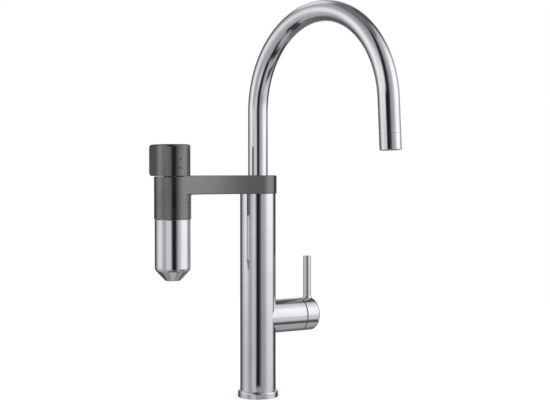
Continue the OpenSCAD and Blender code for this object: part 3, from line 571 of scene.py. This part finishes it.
class Section:
    """Closed outline of a turned piece, in the half plane beside the axis."""

    ARC_STEP = 9.0

    def __init__(self, corners: Sequence[Corner]) -> None:
        """Stores the corners, anticlockwise with the axis on the left."""
        self.corners = corners

    def _tangent(self, index: int) -> tuple[float, int]:
        """Length that rounding takes off each edge at a corner, and the chords of its arc."""
        count = len(self.corners)
        here, before, after = (self.corners[(index + k) % count] for k in (0, -1, 1))
        point = Vector((here.out, here.up))
        arms = [(Vector((c.out, c.up)) - point).normalized() for c in (before, after)]
        inner = arms[0].angle(arms[1])
        return here.round / tan(inner / 2), max(2, round(degrees(pi - inner) / self.ARC_STEP))

    def revolve(self, strips: int) -> bmesh.types.BMesh:
        """Rounds the corners and turns the outline once about Z.

        Args:
            strips: Number of flat strips round the axis.

        Returns:
            A closed mesh.
        """
        bm = bmesh.new()
        verts = [bm.verts.new((c.out, 0.0, c.up)) for c in self.corners]
        bm.faces.new(verts)
        for index, (vert, corner) in enumerate(zip(verts, self.corners)):
            if corner.round:
                offset, chords = self._tangent(index)
                bmesh.ops.bevel(
                    bm, geom=[vert], offset=offset, segments=chords, profile=0.5,
                    affect="VERTICES", material=-1,
                )
        bmesh.ops.delete(bm, geom=bm.faces[:], context="FACES_ONLY")
        on_axis = [e for e in bm.edges if all(abs(v.co.x) < AXIS_REACH for v in e.verts)]
        bmesh.ops.delete(bm, geom=on_axis, context="EDGES")
        bmesh.ops.spin(
            bm, geom=bm.verts[:] + bm.edges[:], cent=(0, 0, 0), axis=(0, 0, 1),
            angle=FULL_TURN, steps=strips, use_merge=True,
        )
        bmesh.ops.remove_doubles(bm, verts=bm.verts[:], dist=MERGE_REACH)
        bmesh.ops.recalc_face_normals(bm, faces=bm.faces[:])
        return bm


def as_object(name: str, bm: bmesh.types.BMesh) -> bpy.types.Object:
    """Turns a bmesh into an object of the scene.

    Args:
        name: Name of the object and of its mesh.
        bm: The mesh, in the frame's coordinates; it is freed here.

    Returns:
        The new object.
    """
    mesh = bpy.data.meshes.new(name)
    bm.to_mesh(mesh)
    bm.free()
    made = bpy.data.objects.new(name, mesh)
    bpy.context.scene.collection.objects.link(made)
    return made


@dataclass
class SubAssembly:
    """Group of pieces of the tap that are made and dressed together."""

    palette: Palette

    title: ClassVar[str] = "parts"
    carried: ClassVar[dict[Slot, tuple[str, ...]]] = {}

    def build(self) -> None:
        """Makes the new pieces and dresses the carried nodes."""
        self.model()
        for slot, names in self.carried.items():
            for name in names:
                self.palette.dress(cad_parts[name], slot)
                LOG.info("%s: %s keeps its mesh, finish %s", self.title, name, slot.value)

    def model(self) -> None:
        """Makes the new pieces; a group without any has none."""

    def piece(
        self,
        name: str,
        bm: bmesh.types.BMesh,
        body: Body,
        replaced: Sequence[str],
        slot: Slot = Slot.CHROME,
        sharp: float = 30.0,
    ) -> None:
        """Turns a bmesh into a dressed piece that rides on a body.

        Args:
            name: Name of the piece.
            bm: Its mesh, in the frame's coordinates; it is freed here.
            body: Body that it moves with.
            replaced: Nodes that it stands for.
            slot: Slot of its finish.
            sharp: Angle between faces from which an edge stays sharp.
        """
        made = as_object(name, bm)
        made.data.shade_smooth()
        made.data.set_sharp_from_angle(angle=radians(sharp))
        weighting = made.modifiers.new("even_shading", "WEIGHTED_NORMAL")
        weighting.keep_sharp = True
        self.palette.dress(made, slot)
        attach(made, body.value)
        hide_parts(*replaced)
        faces = len(made.data.polygons)
        LOG.info("%s: %s has %d faces, finish %s", self.title, name, faces, slot.value)


# The tap


@dataclass(frozen=True)
class ColumnSizes:
    """Sizes that several sub-assemblies share."""

    radius: float = 20 * MM
    bore: float = 18 * MM
    flange_h: float = 7.5 * MM
    arm_z: float = 226 * MM
    hub_z: float = 88 * MM
    hub_r: float = 18.9 * MM
    hub_reach: float = 53.9 * MM


COLUMN = ColumnSizes()


def on_hub(bm: bmesh.types.BMesh) -> bmesh.types.BMesh:
    """Lays a mesh made about Z along the handle axis."""
    turn = Matrix.Translation((0, 0, COLUMN.hub_z)) @ Matrix.Rotation(pi / 2, 4, "Y")
    bmesh.ops.transform(bm, matrix=turn, verts=bm.verts[:])
    return bm


@dataclass
class Base(SubAssembly):
    """Flange on the worktop, its seal and the block that takes the hoses."""

    flange_r: float = 22.5 * MM
    top_edge: float = 2.2 * MM
    foot_edge: float = 0.3 * MM
    way_r: float = 15.15 * MM
    spigot_h: float = 5 * MM
    fit: float = 0.05 * MM
    seal_r: float = 19 * MM
    seal_w: float = 1.45 * MM
    seal_h: float = 1.6 * MM
    strips: int = 160

    title = "base"
    carried = {
        Slot.RUBBER: ("base_seal",),
        Slot.BRASS: ("inlet_block",),
    }

    def model(self) -> None:
        """Makes the flange with its seal groove."""
        top, spigot = COLUMN.flange_h, COLUMN.bore - self.fit
        low, high = self.seal_r - self.seal_w, self.seal_r + self.seal_w
        bm = Section([
            Corner(self.way_r, 0),
            Corner(low, 0),
            Corner(low, self.seal_h),
            Corner(high, self.seal_h),
            Corner(high, 0),
            Corner(self.flange_r, 0, self.foot_edge),
            Corner(self.flange_r, top, self.top_edge),
            Corner(spigot, top),
            Corner(spigot, top + self.spigot_h),
            Corner(self.way_r, top + self.spigot_h),
        ]).revolve(self.strips)
        self.piece("flange", bm, Body.ROOT, ["base_flange"])


@dataclass
class Column(SubAssembly):
    """Chromed column with the handle housing, and the pipes and blocks in it."""

    foot_edge: float = 0.15 * MM
    housing_start: float = 6 * MM
    housing_bore: float = 15 * MM
    bore_start: float = 13 * MM
    housing_seat: float = 17.55 * MM
    seat_depth: float = 2.5 * MM
    rim_edge: float = 0.35 * MM
    strips: int = 192

    title = "column"
    carried = {
        Slot.BRASS: ("mixer_block", "column_head"),
        Slot.COPPER: ("hot_pipe", "cold_pipe", "mixed_pipe"),
        Slot.HOSE: ("filter_feed_pipe", "filter_return_pipe"),
        Slot.STEEL: ("spout_stop_pin",),
        Slot.WHITE: ("glide_washer",),
        Slot.RUBBER: ("tube_seal",),
    }

    def model(self) -> None:
        """Makes the column tube and the housing tube as one piece."""
        seat_z = COLUMN.hub_reach - self.seat_depth
        bm = Section([
            Corner(COLUMN.bore, COLUMN.flange_h),
            Corner(COLUMN.radius, COLUMN.flange_h, self.foot_edge),
            Corner(COLUMN.radius, COLUMN.arm_z),
            Corner(COLUMN.bore, COLUMN.arm_z),
        ]).revolve(self.strips)
        housing = on_hub(Section([
            Corner(self.housing_bore, self.bore_start),
            Corner(COLUMN.hub_r, self.housing_start),
            Corner(COLUMN.hub_r, COLUMN.hub_reach, self.rim_edge),
            Corner(self.housing_seat, COLUMN.hub_reach),
            Corner(self.housing_seat, seat_z),
            Corner(self.housing_bore, seat_z),
        ]).revolve(self.strips))
        scratch = bpy.data.meshes.new("housing")
        housing.to_mesh(scratch)
        housing.free()
        bm.from_mesh(scratch)
        bpy.data.meshes.remove(scratch)
        self.piece("column_shell", bm, Body.ROOT, ["column_tube"])


@dataclass
class MixerHandle(SubAssembly):
    """Handle cap with its lever pin, and the cartridge behind them."""

    seam: float = 1.2 * MM
    cap_l: float = 18.4 * MM
    cap_edge: float = 5 * MM
    rim_edge: float = 0.12 * MM
    crown: float = 160 * MM
    crown_shares: tuple[float, ...] = (0.6, 0.45, 0.3, 0.15, 0.0)
    pivot: float = 39.5 * MM
    cavity_r: float = 24.1 * MM
    cavity_chords: int = 16
    cap_strips: int = 192
    lever_r: float = 4.55 * MM
    lever_top: float = 66.4 * MM
    lever_edge: float = 0.5 * MM
    lever_inset: float = 10.5 * MM
    lever_strips: int = 96
    foot_r: float = 5.3 * MM
    foot_sink: float = 0.75 * MM
    foot_h: float = 0.85 * MM
    foot_edge: float = 0.2 * MM
    neck_z: float = 2.35 * MM
    neck_edge: float = 1.4 * MM
    stud_r: float = 2.5 * MM
    stud_z: float = 9.4 * MM

    title = "mixer handle"
    carried = {
        Slot.CHROME: ("handle_plug",),
        Slot.STEEL: ("pivot_pin", "cartridge_spindle", "handle_screw"),
        Slot.BRASS: ("cartridge_nut",),
        Slot.CERAMIC: ("fixed_disc", "moving_disc"),
        Slot.WHITE: ("cartridge_body",),
        # dome_ring is a chromed ring; its dark grey finish here is painted shade, standing for
        # the shadow in the seam between cap and housing
        Slot.GREY: ("dome_ring", "cartridge_carrier", "disc_holder"),
        Slot.RUBBER: ("cartridge_seals",),
    }

    def model(self) -> None:
        """Makes the cap and the lever pin."""
        low = COLUMN.hub_reach + self.seam
        self.piece("cap", self._cap(low), Body.LEVER, ["handle_cap"])
        self.piece("lever", self._lever(low), Body.LEVER, ["lever_pin"])

    def _cap(self, low: float) -> bmesh.types.BMesh:
        """Turns the cap with its crowned end and its round cavity.

        Args:
            low: Distance of the cap's rim from the column's axis.

        Returns:
            The cap's mesh.
        """
        high = low + self.cap_l
        rim_turn = degrees(asin((low - self.pivot) / self.cavity_r))
        cavity = arc_corners(self.pivot, self.cavity_r, 90, rim_turn, self.cavity_chords)
        rim = Corner(COLUMN.hub_r, low, self.rim_edge)
        shoulder = Corner(COLUMN.hub_r, high - self._drop(COLUMN.hub_r), self.cap_edge)
        outs = [share * COLUMN.hub_r for share in self.crown_shares]
        crown = [Corner(out, high - self._drop(out)) for out in outs]
        return on_hub(Section([*cavity, rim, shoulder, *crown]).revolve(self.cap_strips))

    def _drop(self, out: float) -> float:
        """How far the crown falls at a distance from its middle."""
        return out ** 2 / (2 * self.crown)

    def _lever(self, low: float) -> bmesh.types.BMesh:
        """Turns the lever pin with its collar and stands it on the cap.

        Args:
            low: Distance of the cap's rim from the column's axis.

        Returns:
            The pin's mesh.
        """
        foot = COLUMN.hub_r - self.foot_sink
        bm = Section([
            Corner(0, self.stud_z),
            Corner(self.stud_r, self.stud_z),
            Corner(self.stud_r, foot),
            Corner(self.foot_r, foot),
            Corner(self.foot_r, foot + self.foot_h, self.foot_edge),
            Corner(self.lever_r, foot + self.neck_z, self.neck_edge),
            Corner(self.lever_r, self.lever_top, self.lever_edge),
            Corner(0, self.lever_top),
        ]).revolve(self.lever_strips)
        place = (low + self.lever_inset, 0, COLUMN.hub_z)
        bmesh.ops.translate(bm, vec=place, verts=bm.verts[:])
        return bm


@dataclass
class Spout(SubAssembly):
    """Swivelling arched tube with the outlet sleeve and what is inside them."""

    radius: float = 11 * MM
    bore: float = 9.8 * MM
    foot_z: float = 227.05 * MM
    spring_z: float = 316.4 * MM
    arch_r: float = 101 * MM
    arch_turn: float = 176.7
    azimuth: float = -82.0
    tail_l: float = 34.6 * MM
    tail_edge: float = 0.2 * MM
    tail_chords: int = 3
    tube_strips: int = 112
    leg_steps: int = 4
    arch_steps: int = 118
    sleeve_l: float = 16.2 * MM
    sleeve_edge: float = 0.22 * MM
    lip_edge: float = 0.5 * MM
    inner_edge: float = 0.3 * MM
    neck_l: float = 6 * MM
    neck_fit: float = 0.05 * MM
    way_r: float = 8 * MM
    seat_r: float = 9.05 * MM
    seat_z: float = 6 * MM
    sleeve_strips: int = 144

    title = "spout"
    carried = {
        Slot.BRASS: ("spout_spigot",),
        Slot.STEEL: ("spout_snap_ring",),
        Slot.RUBBER: ("spout_seals", "aerator_washer"),
        Slot.HOSE: ("filtered_tube",),
        Slot.GREY: ("aerator",),
        Slot.BLUE: ("filtered_nozzle",),
    }

    def model(self) -> None:
        """Makes the tube and the outlet sleeve."""
        self.piece("arched_tube", self._tube(), Body.SPOUT, ["spout_tube"])
        self.piece("sleeve", self._sleeve(), Body.SPOUT, ["outlet_sleeve"])

    def _facing(self) -> Matrix:
        """Turns the spout's own plane to where it rests."""
        return Matrix.Rotation(radians(self.azimuth), 4, "Z")

    def _tail(self) -> Matrix:
        """Frame at the end of the tail in the spout's own plane, with Z along the flow."""
        turn = Matrix.Rotation(radians(self.arch_turn), 4, "Y")
        to_arch = Matrix.Translation((self.arch_r, 0, self.spring_z))
        return to_arch @ turn @ Matrix.Translation((-self.arch_r, 0, self.tail_l))

    def _tube(self) -> bmesh.types.BMesh:
        """Sweeps the two skins along leg, arch and tail, and joins them at both ends."""
        bm = bmesh.new()
        start = Matrix.Translation((0, 0, self.foot_z))
        for radius in (self.radius, self.bore):
            bmesh.ops.create_circle(bm, segments=self.tube_strips, radius=radius, matrix=start)
        first = bm.edges[:]
        rings = first
        rise = Vector((0, 0, (self.spring_z - self.foot_z) / self.leg_steps))
        for _ in range(self.leg_steps):
            rings = self._pushed(bm, rings, rise)
        turned = bmesh.ops.spin(
            bm, geom=rings + list({v for e in rings for v in e.verts}),
            cent=(self.arch_r, 0, self.spring_z), axis=(0, 1, 0),
            angle=radians(self.arch_turn), steps=self.arch_steps,
        )["geom_last"]
        rings = [g for g in turned if isinstance(g, bmesh.types.BMEdge)]
        down = Matrix.Rotation(radians(self.arch_turn), 3, "Y") @ Vector((0, 0, self.tail_l))
        last = self._pushed(bm, rings, down)
        bmesh.ops.bridge_loops(bm, edges=first)
        bmesh.ops.bridge_loops(bm, edges=last)
        bmesh.ops.recalc_face_normals(bm, faces=bm.faces[:])
        bmesh.ops.bevel(
            bm, geom=self._outer(last), offset=self.tail_edge, segments=self.tail_chords,
            profile=0.5, affect="EDGES", material=-1,
        )
        bmesh.ops.transform(bm, matrix=self._facing(), verts=bm.verts[:])
        return bm

    @staticmethod
    def _pushed(bm: bmesh.types.BMesh, edges: list, way: Vector) -> list:
        """Extrudes edges along a way and returns the new edges that lie across it."""
        made = bmesh.ops.extrude_edge_only(bm, edges=edges)["geom"]
        verts = [g for g in made if isinstance(g, bmesh.types.BMVert)]
        bmesh.ops.translate(bm, vec=way, verts=verts)
        new_edges = (g for g in made if isinstance(g, bmesh.types.BMEdge))
        return [e for e in new_edges if all(v in verts for v in e.verts)]

    def _outer(self, edges: list) -> list:
        """Those edges of the tail's end that lie on the outer skin."""
        middle = self._tail().to_translation()
        between = (self.radius + self.bore) / 2
        return [e for e in edges if all((v.co - middle).length > between for v in e.verts)]

    def _sleeve(self) -> bmesh.types.BMesh:
        """Turns the sleeve and seats it on the tail."""
        neck = self.bore - self.neck_fit
        bm = Section([
            Corner(self.way_r, -self.neck_l),
            Corner(neck, -self.neck_l, self.inner_edge),
            Corner(neck, 0),
            Corner(self.radius, 0, self.sleeve_edge),
            Corner(self.radius, self.sleeve_l, self.lip_edge),
            Corner(self.seat_r, self.sleeve_l, self.inner_edge),
            Corner(self.seat_r, self.seat_z),
            Corner(self.way_r, self.seat_z),
        ]).revolve(self.sleeve_strips)
        bmesh.ops.transform(bm, matrix=self._facing() @ self._tail(), verts=bm.verts[:])
        return bm


@dataclass
class FilterArm(SubAssembly):
    """Arm with the ring on the column and the capsule holder."""

    title = "filter arm"
    carried = {
        Slot.GUNMETAL: ("arm_shell", "arm_cover", "ring_cap"),
        Slot.STEEL: ("arm_cover_screws", "arm_ring_screws"),
        Slot.GREY: ("filter_head",),
    }


@dataclass
class FilterKnob(SubAssembly):
    """Knob, its marks and the valve that it turns."""

    title = "filter knob"
    carried = {
        Slot.GUNMETAL: ("filter_knob", "knob_plug"),
        Slot.MARK: ("knob_marks",),
        Slot.STEEL: ("knob_screw", "valve_spindle", "valve_clip"),
        Slot.BRASS: ("valve_body",),
        Slot.RUBBER: ("valve_lip_seal",),
        Slot.CERAMIC: ("valve_fixed_disc", "valve_moving_disc"),
    }


@dataclass
class FilterCapsule(SubAssembly):
    """Chromed capsule and the filter pack in it."""

    axis_x: float = -106 * MM
    radius: float = 19.2 * MM
    top_z: float = 199.6 * MM
    top_edge: float = 0.4 * MM
    cone_z: float = 146 * MM
    cone_edge: float = 6 * MM
    end_z: float = 134 * MM
    end_r: float = 7.9 * MM
    end_rise: float = 0.3 * MM
    end_edge: float = 1.5 * MM
    wall: float = 1.6 * MM
    floor: float = 2 * MM
    cone_wall_z: float = 0.8 * MM
    cone_wall_r: float = 1.2 * MM
    strips: int = 192

    title = "filter capsule"
    carried = {
        Slot.STEEL: ("capsule_collar",),
        Slot.RUBBER: ("capsule_seal",),
        Slot.WHITE: ("filter_case",),
        Slot.BLUE: ("filter_top_cap",),
        Slot.CARBON: ("carbon_block",),
        Slot.MEMBRANE: ("membrane_bundle",),
    }

    def model(self) -> None:
        """Makes the capsule shell."""
        bore, floor_z = self.radius - self.wall, self.end_z + self.floor
        bm = Section([
            Corner(0, floor_z),
            Corner(0, self.end_z),
            Corner(self.end_r, self.end_z + self.end_rise, self.end_edge),
            Corner(self.radius, self.cone_z, self.cone_edge),
            Corner(self.radius, self.top_z, self.top_edge),
            Corner(bore, self.top_z),
            Corner(bore, self.cone_z + self.cone_wall_z),
            Corner(self.end_r - self.cone_wall_r, floor_z),
        ]).revolve(self.strips)
        bmesh.ops.translate(bm, vec=(self.axis_x, 0, 0), verts=bm.verts[:])
        self.piece("capsule_bowl", bm, Body.CAPSULE, ["capsule_shell"])


# Studio

ALL_ROUND: Span = (-400, -390, 390, 400)


@dataclass(frozen=True)
class Card:
    """Lit or dark card of the studio, as the gloss sees it, that covers the cards before it.

    Sides are directions from the camera's side, positive to its right, and heights are
    angles above the horizon. Each holds where the card starts, is full, is full to and ends.
    """

    level: float
    sides: Span
    heights: Span
    density: float = 1.0

    def over(self, under: Union[Shade, float], side: Shade, height: Shade) -> Shade:
        """Lays the card over what is behind it.

        Args:
            under: Light from behind the card.
            side: Direction of the view in degrees.
            height: Height of the view in degrees.

        Returns:
            The light with this card in front.
        """
        cover = self._span(side, self.sides) * self._span(height, self.heights)
        return under + cover * self.density * (self.level - under)

    @staticmethod
    def _span(value: Shade, edges: Span) -> Shade:
        """Share of a card along one direction."""
        start, full, last, end = edges
        return value.ramp(start, full, soft=True) * value.ramp(last, end, 1.0, 0.0, soft=True)


@dataclass(frozen=True)
class Lamp:
    """Large soft lamp that faces the tap and that gloss doesn't see."""

    name: str
    place: Triple
    size: float
    watts: float
    target: Triple = (0.0, 0.0, 0.2)

    def put_up(self) -> None:
        """Adds the lamp to the scene."""
        data = bpy.data.lights.new(self.name, "AREA")
        data.size = self.size
        data.energy = self.watts
        lamp = bpy.data.objects.new(self.name, data)
        lamp.location = self.place
        aim = Vector(self.target) - lamp.location
        lamp.rotation_euler = aim.to_track_quat("-Z", "Y").to_euler()
        lamp.visible_glossy = False
        bpy.context.scene.collection.objects.link(lamp)


@dataclass
class Studio:
    """Camera, pale floor, soft light and what the chrome reflects."""

    azimuth: float = 32.0
    pitch: float = 1.48
    distance: float = 1.2734
    height: float = 0.2517
    aside: float = 0.01894
    lens: float = 74.94
    sensor: float = 36.0
    view_end: float = 50.0

    lamps: tuple[Lamp, ...] = (
        Lamp("key", (-1.6, -1.5, 2.2), 1.6, 34.0),
        Lamp("fill", (1.9, -0.9, 1.7), 1.6, 20.0),
    )

    floor_r: float = 1.6
    floor_fade: tuple[float, float] = (0.25, 1.1)
    floor_colour: Colour = (0.93, 0.93, 0.93)
    floor_rough: float = 0.9
    floor_strips: int = 96

    # What the gloss sees, from the back to the front
    ceiling: float = 0.17
    backdrop: Card = Card(0.75, (144, 168, 200, 220), (-26, -6, 10, 50))
    cards: tuple[Card, ...] = (
        Card(0.41, (-134, -120, -40, -12), (-90, -38, 46, 68)),
        Card(0.97, (-121, -88, -80, -50), (-36, 12, 14, 43)),
        Card(0.85, (-74, -58, -42, -22), (-1, 6, 16, 40)),
        Card(0.42, (-9, 36, 144, 154), (-84, -48, 62, 70)),
        Card(1.14, (36, 76, 100, 132), (-42, 12, 24, 77)),
        Card(0.66, (-46, -31, -8, 6), (-49, -21, 3, 8)),
        Card(0.0, ALL_ROUND, (-20, -13, -9, -3), 0.17),
        Card(0.34, (-16, -8, 14, 24), (-14, -13, -10.2, -9.8)),
        Card(0.02, (-36, -18, -6, 16), (1, 8, 56, 88)),
        Card(0.06, (104, 128, 142, 154), (-57, -50, 0, 6)),
        Card(0.09, (112, 135, 162, 176), (22, 35, 66, 80)),
        Card(0.08, (-172, -153, -137, -110), (-57, -49, 10, 28)),
        Card(0.83, (-178, -154, -141, -112), (28, 37, 47, 62)),
        Card(0.03, (-56, -41, 90, 110), (-86, -77, -68, -54)),
        Card(0.09, (50, 60, 100, 114), (-50, -43, -37, -27)),
        Card(0.42, ALL_ROUND, (-130, -120, -82, -70)),
    )

    # Dark flags close to the tap: a cover of 1 is a whole flag, and 0 cuts a gap in it
    flags: tuple[Card, ...] = (
        Card(1.0, (-20, -4, 7, 27), (-77, -46, 14, 21)),
        Card(0.0, (-30, -17, 28, 42), (-46, -44.5, -41.8, -41.4)),
    )
    flag_level: float = 0.015
    dome_r: float = 0.45
    dome_strips: int = 96

    def build(self) -> None:
        """Sets up everything that isn't the tap."""
        self._camera()
        self._world()
        self._floor()
        self._flags()
        for lamp in self.lamps:
            lamp.put_up()
        scene = bpy.context.scene
        scene.view_settings.view_transform = "Standard"
        LOG.info("studio: camera %s", tuple(round(c, 4) for c in scene.camera.location))

    def _camera(self) -> None:
        """Places the camera at the photograph's viewing angle."""
        ahead = Vector((sin(radians(self.azimuth)), cos(radians(self.azimuth)), 0))
        right = Vector((ahead.y, -ahead.x, 0))
        up = Vector((0, 0, self.height))
        data = bpy.data.cameras.new("camera")
        data.sensor_fit = "HORIZONTAL"
        data.sensor_width = self.sensor
        data.lens = self.lens
        data.clip_end = self.view_end
        camera = bpy.data.objects.new("camera", data)
        camera.location = -self.distance * ahead + self.aside * right + up
        camera.rotation_euler = (radians(90 - self.pitch), 0, radians(-self.azimuth))
        bpy.context.scene.collection.objects.link(camera)
        bpy.context.scene.camera = camera

    def _world(self) -> None:
        """White to the camera and to matt surfaces, and a ring of panels to gloss."""
        world = bpy.data.worlds.new("studio")
        bpy.context.scene.world = world
        net = Network(world)
        side, height = self._aim(net, net.node("ShaderNodeTexCoord", output="Generated"))
        studio = self.backdrop.over(self.ceiling, abs(side), height)
        for card in self.cards:
            studio = card.over(studio, side, height)
        seen = net.node("ShaderNodeLightPath", output="Is Glossy Ray")
        level = studio * seen + (1.0 - seen)
        glow = net.node("ShaderNodeBackground", inputs={"Color": (1, 1, 1, 1), "Strength": level})
        net.node("ShaderNodeOutputWorld", inputs={"Surface": glow})

    def _aim(self, net: Network, ray: Shade) -> tuple[Shade, Shade]:
        """Side and height of a direction, both in degrees.

        Args:
            net: Tree that the nodes are added to.
            ray: Direction of length one.

        Returns:
            Angle from the camera's side, positive to its right, and angle above the horizon.
        """
        turn = {"Vector": ray, "Rotation": (0, 0, radians(self.azimuth))}
        turned = net.node("ShaderNodeMapping", {"vector_type": "POINT"}, turn)
        split = net.node("ShaderNodeSeparateXYZ", inputs={"Vector": turned})
        parts = split.socket.node.outputs
        right, ahead, up = (Shade(net, parts[axis]) for axis in ("X", "Y", "Z"))
        return right.angle_to(0.0 - ahead) * (180 / pi), up.arcsine() * (180 / pi)

    def _flags(self) -> None:
        """Dome close round the tap with the dark flag before the camera, for gloss alone."""
        bm = bmesh.new()
        bmesh.ops.create_uvsphere(
            bm, u_segments=self.dome_strips, v_segments=self.dome_strips // 2,
            radius=self.dome_r,
        )
        bmesh.ops.translate(bm, vec=(0, 0, self.height), verts=bm.verts[:])
        dome = as_object("flags", bm)
        material = bpy.data.materials.new("dark_flags")
        net = Network(material)
        centre = {0: net.place(), 1: (0, 0, self.height)}
        offset = net.node("ShaderNodeVectorMath", {"operation": "SUBTRACT"}, centre)
        ray = net.node("ShaderNodeVectorMath", {"operation": "NORMALIZE"}, {0: offset})
        side, height = self._aim(net, ray)
        cover: Union[Shade, float] = 0.0
        for flag in self.flags:
            cover = flag.over(cover, side, height)
        glow = {"Color": (1, 1, 1, 1), "Strength": self.flag_level}
        dark = net.node("ShaderNodeEmission", inputs=glow)
        net.veil(cover, net.node("ShaderNodeBsdfTransparent"), dark)
        dome.data.materials.append(material)
        dome.visible_camera = False
        dome.visible_diffuse = False
        dome.visible_transmission = False
        dome.visible_volume_scatter = False
        dome.visible_shadow = False

    def _floor(self) -> None:
        """Pale floor that keeps the tap's shadow and fades into the white around it."""
        bm = bmesh.new()
        bmesh.ops.create_circle(
            bm, cap_ends=True, segments=self.floor_strips, radius=self.floor_r
        )
        floor = as_object("floor", bm)
        material = bpy.data.materials.new("pale_floor")
        net = Network(material)
        length = {"operation": "LENGTH"}
        far = net.node("ShaderNodeVectorMath", length, {0: net.place()}, "Value")
        paint = {
            "Base Color": (*self.floor_colour, 1.0),
            "Roughness": self.floor_rough,
            "Specular IOR Level": 0.0,
        }
        matt = net.node("ShaderNodeBsdfPrincipled", inputs=paint, output="BSDF")
        net.veil(far.ramp(*self.floor_fade), matt, net.node("ShaderNodeBsdfTransparent"))
        floor.data.materials.append(material)
        floor.visible_glossy = False


def main() -> None:
    """Builds the tap and the studio."""
    palette = Palette(FINISHES)
    for group in (Base, Column, MixerHandle, Spout, FilterArm, FilterKnob, FilterCapsule):
        group(palette).build()
    Studio().build()


if __name__ == "__main__":
    main()
